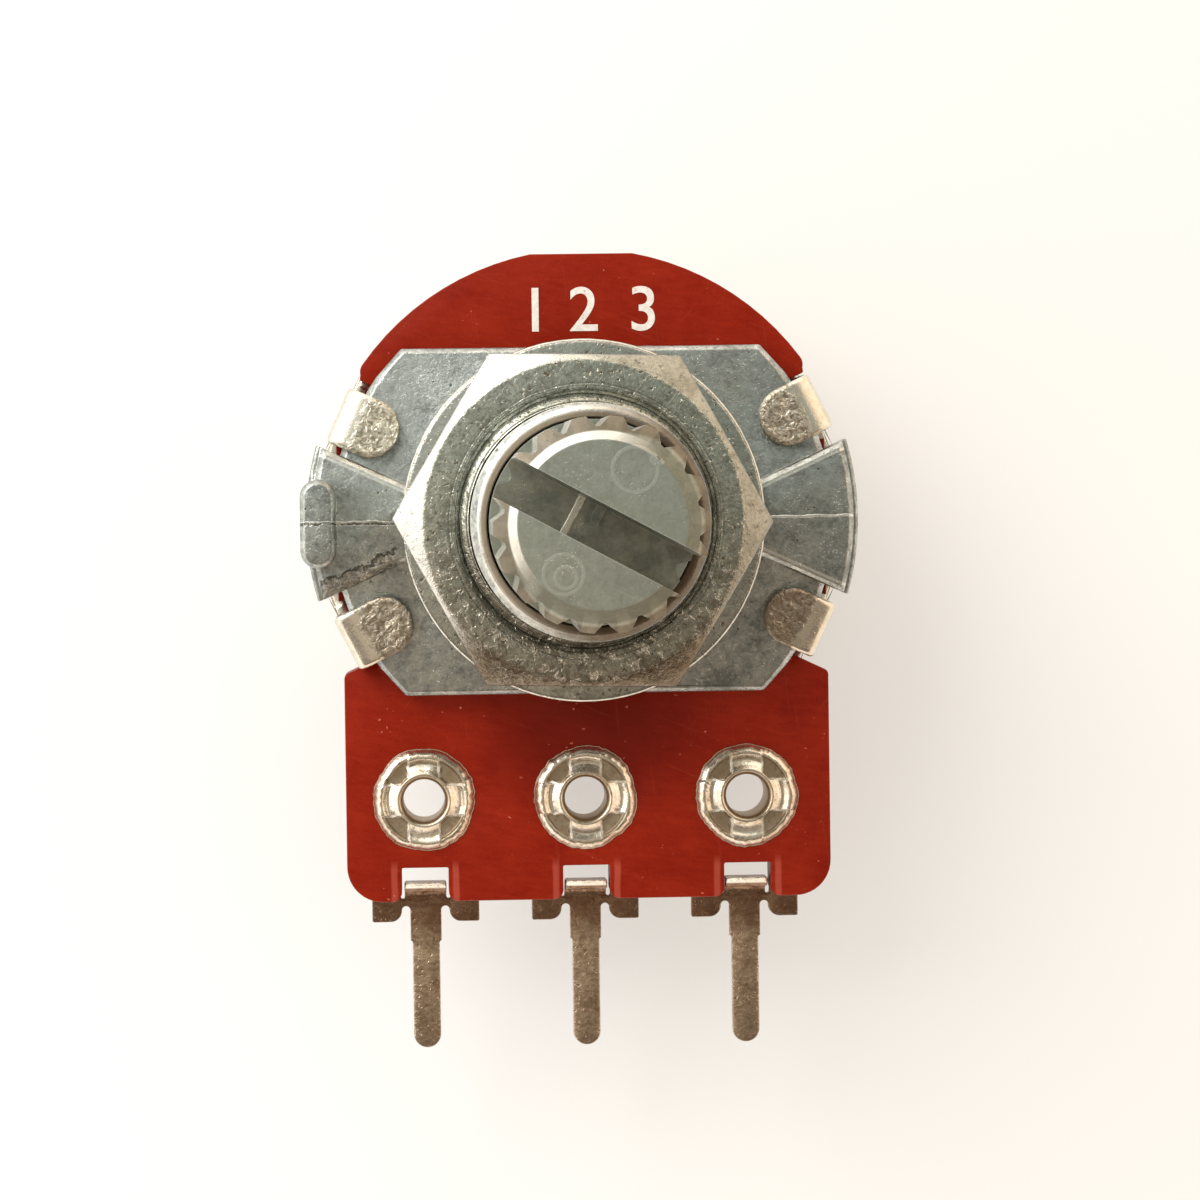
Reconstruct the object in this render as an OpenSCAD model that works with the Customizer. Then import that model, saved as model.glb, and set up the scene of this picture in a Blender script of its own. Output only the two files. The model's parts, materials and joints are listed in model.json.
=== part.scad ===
// Rotary potentiometer with a centre detent, 16 mm class, single gang.
// All sizes are in millimetres. +Z runs along the shaft to its tip, the terminals
// point to -Y and the locating lug lies on -X. The origin is on the shaft axis, on
// the back of the can, which is the face that it rests on. The shaft is drawn at
// its anticlockwise stop.

/* [Shaft] */
// Diameter of the shaft
shaft_d = 6; // [5:0.1:7.2]
// Length of the shaft from the mounting face to its tip
shaft_len = 15; // [12.5:0.5:25]
// Number of teeth of the knurl
knurl_teeth = 18; // [12:1:24]
// Depth of the grooves between the teeth
knurl_depth = 0.3; // [0.1:0.02:0.4]
// Length of the knurled end
knurl_len = 7; // [4:0.25:7.2]
// Chamfer at the tip
tip_chamfer = 0.4; // [0.2:0.05:0.6]
// Width of the screwdriver slot
slot_w = 1.05; // [0.8:0.05:1.3]
// Depth of the screwdriver slot
slot_depth = 6.6; // [3:0.1:7]
// Width of the thrust collar behind the plate
collar_w = 0.7; // [0.5:0.05:0.9]
// Side of the square that carries the rotor
square_w = 3; // [2.5:0.1:3.4]

/* [Turning] */
// Angle between the two stops, in degrees
travel = 303; // [260:1:310]
// Free play left at each stop, in degrees
stop_play = 0.3; // [0.1:0.1:1]
// Radial clearance of the shaft in its bushing
shaft_fit = 0.05; // [0.02:0.01:0.1]
// Gap left where one spring part touches another
touch_gap = 0.02; // [0.01:0.01:0.05]

/* [Front plate and bushing] */
// Wall of the bushing outside the shaft bore
bushing_wall = 0.45; // [0.4:0.05:0.8]
// Length of the bushing in front of the mounting face
bushing_len = 7; // [5.8:0.2:9]
// Chamfer at the end of the bushing
bushing_chamfer = 0.25; // [0.1:0.05:0.3]
// Thickness of the plate where the tabs lie
plate_t = 1.15; // [0.9:0.05:1.5]
// Height of the plate across its two straight edges
plate_h = 10.65; // [9:0.05:12.4]
// Length of each straight edge before the corners are cut
plate_edge = 11; // [9:0.1:12.4]
// Slope of the cut corners, in degrees
corner_slope = 48; // [40:1:55]
// Half width of a wing at its narrow end
wing_half = 1.2; // [1:0.05:1.4]
// Distance of that narrow end from the axis
wing_root = 5.5; // [5:0.1:6]
// Slope of the wing's side edges, in degrees
wing_slope = 24.5; // [20:0.5:25]
// Bevel along the edges of the casting
cast_bevel = 0.14; // [0.08:0.02:0.2]
// Distance of the wings' round edge outside the can
wing_lip = 0.4; // [0.2:0.05:0.5]
// Width of the ledge below the wings' round edge
wing_ledge = 0.2; // [0.1:0.02:0.3]
// Length of the locating lug
lug_len = 2.7; // [2:0.1:3.2]
// Width of the locating lug
lug_w = 1.08; // [0.8:0.02:1.2]
// Height of the locating lug above the mounting face
lug_h = 0.9; // [0.5:0.1:1.4]

/* [Nut and washer] */
// Width of the nut across its flats
nut_af = 10; // [9.2:0.1:12]
// Height of the nut
nut_h = 2; // [1.6:0.1:2.4]
// Angle of the tightened nut out of line with the plate
nut_turn = 1.2; // [0:0.2:30]
// Width of the flat washer's ring
washer_ring = 1.9; // [1.4:0.05:2.2]
// Thickness of the flat washer
washer_t = 0.5; // [0.4:0.05:0.8]
// Clearance of the nut's thread
nut_fit = 0.04; // [0.02:0.01:0.08]
// Radial play of the washer on the bushing
washer_play = 0.15; // [0.1:0.01:0.25]

/* [Board] */
// Thickness of the phenolic board
board_t = 1.6; // [1.2:0.1:2]
// Distance of the board's straight sides outside the outer terminals
board_side = 2.5; // [2.2:0.1:3.4]
// Distance of the board's outline to the right of its holes
board_shift = 0.09; // [0:0.01:0.15]
// Distance of the board's round edge outside the can
board_lip = 0.27; // [0.15:0.01:0.45]
// Length of board below the row of eyelets
board_drop = 3.15; // [2.9:0.05:3.6]
// Radius of the board's lower corners
board_corner = 1.1; // [0.6:0.1:1.4]
// Radius of the corners where the tabs' slots meet the board's round edge
slot_corner = 0.4; // [0.1:0.05:0.6]
// Distance of the short flat at the top of the round edge below the full round
board_flat = 0.15; // [0.05:0.01:0.25]
// Thickness of the printed tracks
print_t = 0.05; // [0.03:0.01:0.08]

/* [Terminals and eyelets] */
// Distance between neighbouring terminals
pitch = 5; // [4.6:0.1:6]
// Distance of the row of eyelets outside the can
eyelet_out = 0.5; // [0.3:0.05:0.8]
// Inside diameter of the eyelets
eyelet_bore = 1.5; // [1.2:0.05:1.7]
// Wall of the eyelets
eyelet_wall = 0.2; // [0.15:0.01:0.25]
// Diameter of the swaged front rim
rim_d = 3.25; // [2.9:0.05:3.4]
// Thickness of the terminal sheet
sheet_t = 0.3; // [0.25:0.01:0.4]
// Width of the terminal lugs and of their ears
lug_sheet_w = 3.35; // [3.1:0.05:3.5]
// Distance of the ears' lower edge below the board
ear_drop = 0.78; // [0.6:0.02:1]
// Width of the solder pins
pin_w = 0.85; // [0.7:0.01:1]
// Length of the solder pins below the ears
pin_len = 3.95; // [3:0.05:5]
// Width of the tongue that is bent forward into the board's notch
tongue_w = 1.3; // [1.1:0.02:1.4]

/* [Can] */
// Outside diameter of the can
can_d = 16.2; // [14.8:0.1:19.6]
// Wall of the can
can_wall = 0.35; // [0.3:0.01:0.4]
// Depth of the can, from its back to the board
can_depth = 6.2; // [6:0.1:8]
// Radius of the can's back edge
can_edge_r = 0.9; // [0.6:0.1:1.2]
// Width of the folded tabs
tab_w = 1.8; // [1.5:0.05:2]
// Length of the folded tabs over the plate
tab_len = 2; // [1.6:0.05:2.2]
// Angle of the tabs from the X axis, in degrees
tab_angle = 25.5; // [25:0.5:29]
// Outer radius of the tabs' bend
tab_bend_r = 0.55; // [0.45:0.01:0.7]
// Width of the stop tab that is bent into the can
stop_w = 2.2; // [1.9:0.1:2.4]

/* [Hidden] */
$fn = 96;

// Small amount by which a cut runs past the surface that it opens
over = 0.5;
// Gap between pieces that are put together with play
play = 0.1;

// Radii about the shaft axis
shaft_r = shaft_d/2;
bore_r = shaft_r + shaft_fit;
bushing_r = bore_r + bushing_wall;
can_r = can_d/2;
can_in = can_r - can_wall;
tab_r = can_r - 0.02;
plate_r = can_in - play/2;
wing_r = can_r + wing_lip;
collar_r = shaft_r + collar_w;
hole_r = collar_r + 0.4;
rotor_r = can_in - 0.7;
stop_r = rotor_r - 0.75;
boss_r = stop_r - 0.25;
hub_r = collar_r - 0.4;

// Heights above the back of the can
z_board = can_depth;
z_plate = z_board + board_t;
z_seat = z_plate + plate_t;
z_tab = z_seat + can_wall;
z_face = z_tab + play;
z_nut = z_face + washer_t;
z_bushing = z_face + bushing_len;
z_tip = z_face + shaft_len;
z_print = z_board - print_t;
z_lug = z_print - sheet_t;
z_collar = z_plate - 2*touch_gap;
z_collar_back = z_collar - 1;
z_web = z_print - 0.95;
web_t = 1;
z_boss = can_wall + 1.35;

// Tracks on the back of the board: a silver ring inside, a carbon horseshoe outside
print_in = hole_r + 0.35;
print_out = can_in - 0.9;
print_gap = 0.6;
ring_w = 0.35*(print_out - print_in - print_gap);
track_w = print_out - print_in - print_gap - ring_w;
ring_mid = print_in + ring_w/2;
track_mid = print_out - track_w/2;
track_end = travel/2 + 4;

// Terminals
row_y = -(can_r + eyelet_out);
board_y = row_y - board_drop;
ear_y = board_y - ear_drop;
pin_y = ear_y - pin_len;
barrel_r = eyelet_bore/2 + eyelet_wall;
eyelet_hole_r = barrel_r + 0.04;
board_w = 2*(pitch + board_side);
flange_t = 0.25;
notch_w = tongue_w + 0.15;
notch_h = 1.05;
tongue_y = board_y + 0.55;
tongue_bend = 0.3;

// Turning
rest_angle = travel/2;
stop_half = asin(stop_w/2/stop_r);
lug_half = 180 - travel/2 - stop_half - stop_play;

// Flat ring
module ring(r_in, r_out) {
    difference() {
        circle(r = r_out);
        circle(r = r_in);
    }
}

// Flat sector of the given radius, half_angle to each side of +Y
module sector(r, half_angle) {
    step = half_angle/8;
    intersection() {
        circle(r = r);
        polygon(concat([[0, 0]],
            [for (i = [-8:8]) 2*r*[sin(i*step), cos(i*step)]]));
    }
}

// Disc or tube wall with a chamfer on its upper outer edge
module chamfered_cylinder(r, h, c) {
    rotate_extrude() polygon([[0, 0], [r, 0], [r, h - c], [r - c, h], [0, h]]);
}

// Side view of a sheet of thickness t that comes from -X and is bent up at x = 0.
// It joins the flat sheet at the start of the bend, past which it overlaps it a little.
module bent_strip(t, height, bend) {
    r = bend + t;
    translate([-r - 0.1, 0]) square([0.1, t]);
    translate([-t, r]) square([t, height - r]);
    translate([-r, r]) intersection() {
        ring(bend, r);
        translate([0, -r]) square(r);
    }
}

// Wedge that bevels the upper edge from point a to point b, cutting on its right
module edge_bevel(a, b, z, c) {
    d = b - a;
    translate([a[0], a[1], z])
        rotate([0, 0, atan2(d[1], d[0])])
            rotate([45, 0, 0])
                translate([-over, -c/sqrt(2), -c/sqrt(2)])
                    cube([norm(d) + 2*over, 4*c, sqrt(2)*c]);
}

// Outline of the flat plate: a band with cut corners inside the tabs' bend
module plate_outline() {
    x = plate_edge/2;
    y = plate_h/2;
    run = y/tan(corner_slope);
    intersection() {
        circle(r = plate_r);
        polygon([[x, y], [x + run, 0], [x, -y], [-x, -y], [-x - run, 0], [-x, y]]);
    }
}

// Outline of both wings, wider outwards
module wing_outline() {
    far = wing_r + 1;
    half = wing_half + (far - wing_root)*tan(wing_slope);
    intersection() {
        circle(r = wing_r);
        polygon([[wing_root, wing_half], [far, half], [far, -half], [wing_root, -wing_half],
                 [-wing_root, -wing_half], [-far, -half], [-far, half],
                 [-wing_root, wing_half]]);
    }
}

// Both wings as one bar across the plate, bevelled all round at the top, with a ledge
// below their round edge
module wings() {
    far = wing_r + 1;
    half = wing_half + (far - wing_root)*tan(wing_slope);
    h = z_face - z_plate;
    difference() {
        intersection() {
            translate([0, 0, z_plate]) linear_extrude(h) wing_outline();
            translate([0, 0, z_plate]) union() {
                chamfered_cylinder(wing_r, 0.55*h, cast_bevel/2);
                chamfered_cylinder(wing_r - wing_ledge, h, cast_bevel);
            }
        }
        for (sx = [-1, 1], sy = [-1, 1]) {
            mirror([sx < 0 ? 1 : 0, 0, 0]) mirror([0, sy < 0 ? 1 : 0, 0])
                edge_bevel([wing_root, wing_half], [far, half], z_face, cast_bevel);
        }
    }
}

// Flat part of the plate, bevelled all round. Its round edge clears the tabs' bends.
module plate_body() {
    x = plate_edge/2;
    y = plate_h/2;
    run = y/tan(corner_slope);
    difference() {
        translate([0, 0, z_plate]) intersection() {
            linear_extrude(plate_t) plate_outline();
            chamfered_cylinder(plate_r, plate_t, plate_r - tab_r + tab_bend_r);
        }
        for (sx = [-1, 1], sy = [-1, 1]) {
            mirror([sx < 0 ? 1 : 0, 0, 0]) mirror([0, sy < 0 ? 1 : 0, 0]) {
                edge_bevel([x + run, 0], [x, y], z_seat, -cast_bevel);
                edge_bevel([x, y], [0, y], z_seat, -cast_bevel);
            }
        }
    }
}

// Obround locating lug with a bevelled top
module locating_lug() {
    half = lug_len/2 - lug_w/2;
    c = cast_bevel;
    r = lug_w/2;
    h = z_face - z_plate + lug_h;
    translate([-wing_r + r - cast_bevel, 0, z_plate]) {
        for (s = [-1, 1]) translate([0, s*half, 0]) chamfered_cylinder(r, h, c);
        rotate([90, 0, 0])
            linear_extrude(2*half, center = true)
                polygon([[-r, 0], [r, 0], [r, h - c], [r - c, h], [c - r, h], [-r, h - c]]);
    }
}

// Zinc die casting: plate, two raised wings, locating lug and threaded bushing
module front_plate() {
    color("#8f948c") difference() {
        union() {
            plate_body();
            wings();
            locating_lug();
            translate([0, 0, z_plate])
                cylinder(r = washer_ring + bushing_r - 0.3, h = z_face - z_plate);
            translate([0, 0, z_plate])
                chamfered_cylinder(bushing_r, z_bushing - z_plate, bushing_chamfer);
        }
        translate([0, 0, z_plate - over]) cylinder(r = bore_r, h = z_bushing - z_plate + 2*over);
        translate([0, 0, z_bushing - 0.1]) cylinder(r1 = bore_r, r2 = bore_r + over, h = over);
    }
}

// Hexagon nut, chamfered on both faces and countersunk at its thread, turned a little out
// of line with the plate
module hex_nut() {
    corner_r = nut_af/sqrt(3);
    face_r = 0.96*nut_af/2;
    drop = (corner_r - face_r)*tan(30);
    bore = bushing_r + nut_fit;
    sink = 0.45;
    color("#9a9d96") translate([0, 0, z_nut]) rotate(-nut_turn) difference() {
        intersection() {
            cylinder(r = corner_r, h = nut_h, $fn = 6);
            rotate_extrude() polygon([[0, 0], [face_r, 0], [corner_r, drop],
                                      [corner_r, nut_h - drop], [face_r, nut_h], [0, nut_h]]);
        }
        translate([0, 0, -over]) cylinder(r = bore, h = nut_h + 2*over);
        translate([0, 0, nut_h - sink]) cylinder(r1 = bore, r2 = bore + 2*sink, h = 2*sink);
        translate([0, 0, -sink]) cylinder(r1 = bore + 2*sink, r2 = bore, h = 2*sink);
    }
}

// Flat washer, with play round the bushing
module flat_washer() {
    r_in = bushing_r + washer_play;
    c = 0.08;
    color("#a3a59d") translate([0, 0, z_face]) rotate_extrude()
        polygon([[r_in, 0], [r_in + washer_ring - c, 0], [r_in + washer_ring, c],
                 [r_in + washer_ring, washer_t - c], [r_in + washer_ring - c, washer_t],
                 [r_in, washer_t]]);
}

// Slot through the board for one tab: parallel walls along the tab's radius
module tab_slot() {
    w = tab_w + 3*play;
    translate([can_in - play, -w/2]) square([can_r, w]);
}

// What rounds the corner where an upper slot meets the board's round edge, whose centre is
// shifted outwards by shift
module slot_corner_cut(shift) {
    edge_r = can_r + board_lip;
    r = slot_corner;
    centre = [shift*cos(tab_angle), -shift*sin(tab_angle)];
    y = tab_w/2 + 1.5*play + r;
    x = centre[0] + sqrt(pow(edge_r - r, 2) - pow(y - centre[1], 2));
    end = centre + ([x, y] - centre)*edge_r/(edge_r - r);
    difference() {
        polygon([[x, 0], [edge_r + over, 0], [edge_r + over, end[1]], end]);
        translate([x, y]) circle(r = r);
    }
}

// What rounds the apron's upper corner, beside the lower tab's slot
module apron_corner_cut(shift) {
    r = slot_corner/2;
    x = board_w/2 + shift - r;
    y = -(tab_w/2 + 1.5*play + r + x*sin(tab_angle))/cos(tab_angle);
    difference() {
        polygon([[x, y], [x + r + over, y], [x + r + over, y + 2*r],
                 [x + 2*r*sin(tab_angle), y + 2*r*cos(tab_angle)]]);
        translate([x, y]) circle(r = r);
    }
}

// Board area beside the can that carries the terminals
module board_apron() {
    x = board_w/2;
    c = board_corner;
    translate([-x, board_y + c]) square([board_w, -board_y - c - can_in*sin(tab_angle)]);
    translate([-x + c, board_y]) square([board_w - 2*c, 2*c]);
    for (s = [-1, 1]) translate([s*(x - c), board_y + c]) circle(r = c);
}

// Notch in the board's lower edge for one tongue, with a rounded mouth
module board_notch() {
    r = 0.3;
    translate([-notch_w/2, board_y - over]) square([notch_w, notch_h + over]);
    difference() {
        translate([-notch_w/2 - r, board_y - over]) square([notch_w + 2*r, r + over]);
        for (s = [-1, 1]) translate([s*(notch_w/2 + r), board_y + r]) circle(r = r);
    }
}

// Outline of the board, with its slots, notches and holes
module board_outline() {
    edge_r = can_r + board_lip;
    difference() {
        translate([board_shift, 0]) {
            intersection() {
                circle(r = edge_r);
                translate([-edge_r, -edge_r]) square([2*edge_r, 2*edge_r - board_flat]);
            }
            board_apron();
        }
        for (s = [0, 1]) mirror([s, 0]) {
            rotate(tab_angle) {
                tab_slot();
                slot_corner_cut((1 - 2*s)*board_shift);
            }
            rotate(-tab_angle) tab_slot();
            apron_corner_cut((1 - 2*s)*board_shift);
            // the apron stops at the lower tab's slot
            difference() {
                translate([edge_r*cos(tab_angle), -can_in*sin(tab_angle) - tab_w])
                    square([board_w, can_r]);
                rotate(-tab_angle) translate([0, -tab_w/2 - 1.5*play - 2*can_r])
                    square([2*can_d, 2*can_r]);
            }
        }
        circle(r = hole_r);
        for (i = [-1:1]) translate([i*pitch, 0]) {
            translate([0, row_y]) circle(r = eyelet_hole_r);
            board_notch();
        }
    }
}

// Phenolic board that carries the tracks and the terminals
module board() {
    color("#96241a") translate([0, 0, z_board]) linear_extrude(board_t) board_outline();
}

// Outline of the carbon horseshoe
module track_outline() {
    intersection() {
        ring(track_mid - track_w/2, track_mid + track_w/2);
        union() {
            sector(print_out + 1, 90);
            rotate(track_end - 90) sector(print_out + 1, 90);
            rotate(90 - track_end) sector(print_out + 1, 90);
        }
    }
}

// Printed carbon horseshoe, open towards the terminals
module resistance_track() {
    color("#2b2b2b") translate([0, 0, z_print]) linear_extrude(print_t) track_outline();
}

// Strip of printed silver between two points
module print_strip(a, b, w) {
    d = b - a;
    translate(a) rotate(atan2(d[1], d[0])) translate([0, -w/2]) square([norm(d), w]);
}

// Printed silver: collector ring to the middle eyelet, and one lead to each track end
module silver_print() {
    pad_r = rim_d/2 - 0.15;
    color("#b9bcc0") translate([0, 0, z_print]) linear_extrude(print_t) difference() {
        union() {
            ring(ring_mid - ring_w/2, ring_mid + ring_w/2);
            print_strip([0, -ring_mid], [0, row_y], 1);
            translate([0, row_y]) circle(r = pad_r);
            for (s = [-1, 1]) {
                end = track_mid*[s*sin(track_end), cos(track_end)];
                difference() {
                    union() {
                        print_strip(end, [s*pitch, row_y], 1.2);
                        translate(end) circle(r = track_w/2 - 0.05);
                        translate([s*pitch, row_y]) circle(r = pad_r);
                    }
                    track_outline();
                }
            }
        }
        for (i = [-1:1]) translate([i*pitch, row_y]) circle(r = eyelet_hole_r);
    }
}

// Flat outline of a terminal: lug, window, ears, and pin with a rounded tip
module terminal_outline() {
    half = lug_sheet_w/2;
    relief = 0.13;
    lip = 0.36;
    root_w = pin_w + 0.12;
    window_y = tongue_y - tongue_bend - sheet_t;
    difference() {
        union() {
            translate([0, row_y]) circle(r = half);
            translate([-half, ear_y]) square([lug_sheet_w, row_y - ear_y]);
        }
        translate([0, row_y]) circle(r = eyelet_hole_r);
        translate([-notch_w/2 - 0.05, window_y])
            square([notch_w + 0.1, board_y + notch_h + 0.1 - window_y]);
        // rounded reliefs between the pin and the ears
        for (s = [0, 1]) mirror([s, 0]) translate([root_w/2 + relief, ear_y + lip]) {
            circle(r = relief);
            difference() {
                translate([-relief, -lip - over]) square([2*relief + lip, lip + over]);
                translate([relief + lip, 0]) circle(r = lip);
            }
        }
    }
    translate([-root_w/2, ear_y - 0.6]) square([root_w, 1.2]);
    translate([-pin_w/2, pin_y + pin_w/2]) square([pin_w, ear_y - pin_y - pin_w/2]);
    translate([0, pin_y + pin_w/2]) circle(r = pin_w/2);
}

// Stamped terminal with its tongue bent forward into the board's notch
module terminal(x) {
    color("#a8987c") translate([x, 0, z_lug]) {
        linear_extrude(sheet_t) terminal_outline();
        translate([-tongue_w/2, tongue_y, 0]) rotate([90, 0, 90]) linear_extrude(tongue_w)
            bent_strip(sheet_t, z_plate - 0.35 - z_lug, tongue_bend);
    }
}

// Eyelet: barrel through lug and board, back flange, and front rim swaged in a cross
module eyelet(x) {
    r = eyelet_bore/2;
    rim_r = rim_d/2;
    lip = 0.3;
    petal_w = 1.03;
    color("#cfc9b4") translate([x, row_y, 0]) difference() {
        rotate_extrude() polygon([
            [r, z_lug - flange_t + 0.08], [r + 0.1, z_lug - flange_t],
            [rim_r - 0.25, z_lug - flange_t], [rim_r - 0.15, z_lug - flange_t/2],
            [rim_r - 0.25, z_lug], [barrel_r, z_lug], [barrel_r, z_plate],
            [rim_r, z_plate], [rim_r, z_plate + 0.1], [rim_r - 0.22, z_plate + lip],
            [r + 0.3, z_plate + lip], [r + 0.05, z_plate + lip - 0.1], [r, z_plate]]);
        for (a = [0:90:270]) rotate([0, 0, a])
            translate([r + 0.42, 0, z_plate + lip + 0.06]) rotate([90, 0, 0])
                cylinder(r = 0.24, h = petal_w, center = true, $fn = 32);
    }
}

// Side view of a folded tab: up from the can's rim and over the plate's edge
module tab_profile() {
    b = tab_bend_r;
    translate([tab_r - can_wall, z_board - over]) square([can_wall, z_tab - b - z_board + over]);
    translate([can_r - tab_len, z_seat]) square([tab_r - b - can_r + tab_len, can_wall]);
    translate([tab_r - b, z_tab - b]) intersection() {
        ring(b - can_wall, b);
        square(b);
    }
}

// Tab, flattened where it leaves the can's round wall, with a rounded end
module tab() {
    rotate([90, 0, 0]) linear_extrude(tab_w, center = true) difference() {
        tab_profile();
        translate([can_r - tab_len - over, z_seat - over])
            square([over + tab_w/2, can_wall + 2*over]);
    }
    translate([can_r - tab_len + tab_w/2, 0, z_seat]) cylinder(r = tab_w/2, h = can_wall);
}

// Section of the drawn can, with a rounded back edge
module can_section() {
    steps = 6;
    outer = can_edge_r;
    inner = can_edge_r - can_wall;
    polygon(concat(
        [[0, 0]],
        [for (i = [0:steps]) [can_r - outer + outer*sin(i*90/steps),
                              outer - outer*cos(i*90/steps)]],
        [[can_r, z_board], [can_in, z_board]],
        [for (i = [steps:-1:0]) [can_in - inner + inner*sin(i*90/steps),
                                 can_wall + inner - inner*cos(i*90/steps)]],
        [[0, can_wall]]));
}

// Plated steel can: folded tabs, a gap in the rim at the terminals, and a stop tab
// that is lanced from the back and stands up inside
module rear_cover() {
    gap_half = atan(pitch/-row_y) + asin(lug_sheet_w/2/can_r);
    stop_h = 2.3;
    stop_bend = 0.15;
    stop_root = stop_bend + can_wall;
    color("#c4bfae") {
        difference() {
            rotate_extrude() can_section();
            translate([0, 0, z_lug - flange_t - 1]) rotate([0, 0, 180])
                linear_extrude(can_depth) difference() {
                    sector(can_r + 1, gap_half);
                    circle(r = can_in - 0.2);
                }
            translate([-stop_w/2 - play, -stop_r - stop_root, -over])
                cube([stop_w + 2*play, stop_root + stop_h, can_wall + 2*over]);
        }
        translate([-stop_w/2, -stop_r, 0]) rotate([90, 0, 90]) linear_extrude(stop_w)
            bent_strip(can_wall, stop_h, stop_bend);
        for (a = [tab_angle, -tab_angle, 180 - tab_angle, 180 + tab_angle])
            rotate([0, 0, a]) tab();
    }
}

// Height of the detent spring's mid line at distance u from its middle
function spring_z(u, reach, top) =
    top*(0.5 + 0.5*cos(180*min(1, abs(u)/(0.82*reach))))*0.72
    + top*0.28*(abs(u) < 0.7 ? 0.5 + 0.5*cos(180*abs(u)/0.7) : 0);

// Bowed leaf spring on the can's back, with a rounded rib that drops into the rotor
module detent_spring() {
    t = 0.2;
    w = 1.8;
    y = (hub_r + boss_r)/2;
    reach = sqrt(pow(can_in - can_edge_r, 2) - pow(y + w/2, 2));
    top = z_boss - touch_gap - t - can_wall;
    n = 24;
    us = [for (i = [-n:n]) reach*i/n];
    color("#b5b2a6") translate([0, y + w/2, can_wall]) rotate([90, 0, 0]) linear_extrude(w)
        polygon(concat([for (u = us) [u, spring_z(u, reach, top)]],
                       [for (i = [n:-1:-n]) [reach*i/n, spring_z(reach*i/n, reach, top) + t]]));
}

// Outline of the knurl: V grooves that leave a third of the circumference as lands
module knurl_outline() {
    root = 0.05;
    half = PI*shaft_r/knurl_teeth*0.67;
    slope = (half - root)/knurl_depth;
    difference() {
        circle(r = shaft_r);
        for (i = [0:knurl_teeth - 1]) rotate(i*360/knurl_teeth)
            translate([shaft_r, 0])
                polygon([[-knurl_depth, -root], [over, -half - over*slope],
                         [over, half + over*slope], [-knurl_depth, root]]);
    }
}

// Turned and knurled shaft with slot, thrust collar, square and riveted end
module shaft() {
    neck = 0.3;
    head_r = 0.5*square_w*sqrt(2) + 0.25;
    z_knurl = z_tip - knurl_len;
    color("#8d9083") rotate([0, 0, rest_angle]) {
        difference() {
            union() {
                intersection() {
                    translate([0, 0, z_knurl]) linear_extrude(knurl_len) knurl_outline();
                    translate([0, 0, z_knurl])
                        chamfered_cylinder(shaft_r, knurl_len, tip_chamfer);
                }
                translate([0, 0, z_collar - 0.5])
                    cylinder(r = shaft_r, h = z_knurl - 0.5 - z_collar + 0.5);
                translate([0, 0, z_knurl - 0.6]) cylinder(r = shaft_r - neck, h = 0.7);
            }
            translate([-shaft_d, -slot_w/2, z_tip - slot_depth])
                cube([2*shaft_d, slot_w, slot_depth + over]);
        }
        translate([-0.13, -slot_w/2, z_tip - slot_depth - over]) cube([0.26, slot_w, over + 0.12]);
        translate([0, 0, z_collar_back]) cylinder(r = collar_r, h = z_collar - z_collar_back);
        translate([-square_w/2, -square_w/2, z_boss + 0.3])
            cube([square_w, square_w, z_collar_back - z_boss]);
        translate([0, 0, z_boss + 0.15]) cylinder(r = head_r, h = 0.5);
    }
}

// Moulded rotor: web for the wiper, boss with the stop lug and the detent groove
module rotor() {
    fit = touch_gap;
    head_r = 0.5*square_w*sqrt(2) + 0.25;
    lug_r = rotor_r + 0.05;
    color("#2a2a2c") rotate([0, 0, rest_angle]) difference() {
        union() {
            translate([0, 0, z_web - web_t]) cylinder(r = rotor_r, h = web_t);
            translate([0, 0, z_boss]) cylinder(r = boss_r, h = z_web - web_t - z_boss + 0.1);
            translate([0, 0, z_boss]) linear_extrude(z_web - web_t - z_boss + 0.1)
                sector(lug_r, lug_half);
            translate([0, 0, z_boss]) cylinder(r = hub_r, h = z_collar_back - z_boss - fit);
        }
        translate([-square_w/2 - fit, -square_w/2 - fit, 0])
            cube([square_w + 2*fit, square_w + 2*fit, z_plate]);
        translate([0, 0, z_boss - over]) cylinder(r = head_r + fit, h = over + 0.65 + fit);
        translate([0, boss_r + over, z_boss]) rotate([90, 0, 0])
            linear_extrude(boss_r + over - hub_r)
                polygon([[-0.8, -0.1], [0.8, -0.1], [0.25, 0.45], [-0.25, 0.45]]);
    }
}

// Side view of one spring finger: up from the base to a rounded crest
module finger_profile(rise) {
    t = 0.15;
    polygon([[-2.1, 0], [-1.7, 0], [-0.25, rise - 0.09 - t], [0, rise - t],
             [0.25, rise - 0.09 - t], [0.45, rise - 0.3 - t], [0.55, rise - 0.2 - t],
             [0.3, rise - 0.02], [0.1, rise], [-0.1, rise], [-0.3, rise - 0.02],
             [-1.75, t], [-2.1, t]]);
}

// Spring contact: ring on the rotor's web, and two split fingers that reach the tracks
module wiper() {
    t = 0.15;
    rise = z_print - touch_gap - z_web;
    slit = 0.1;
    color("#c08a4a") rotate([0, 0, rest_angle]) translate([0, 0, z_web]) {
        linear_extrude(t) difference() {
            union() {
                circle(r = hub_r + 0.95);
                intersection() {
                    translate([-2.7, 0]) square([1, rotor_r]);
                    circle(r = rotor_r - 0.02);
                }
            }
            circle(r = hub_r + touch_gap);
        }
        for (finger = [[ring_mid, 0.8*ring_w], [track_mid, 0.6*track_w]], s = [-1, 1])
            translate([0, finger[0] + s*(finger[1] + slit)/4 + finger[1]/4 - slit/4, 0])
                rotate([90, 0, 0]) linear_extrude(finger[1]/2 - slit/2) finger_profile(rise);
    }
}

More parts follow.
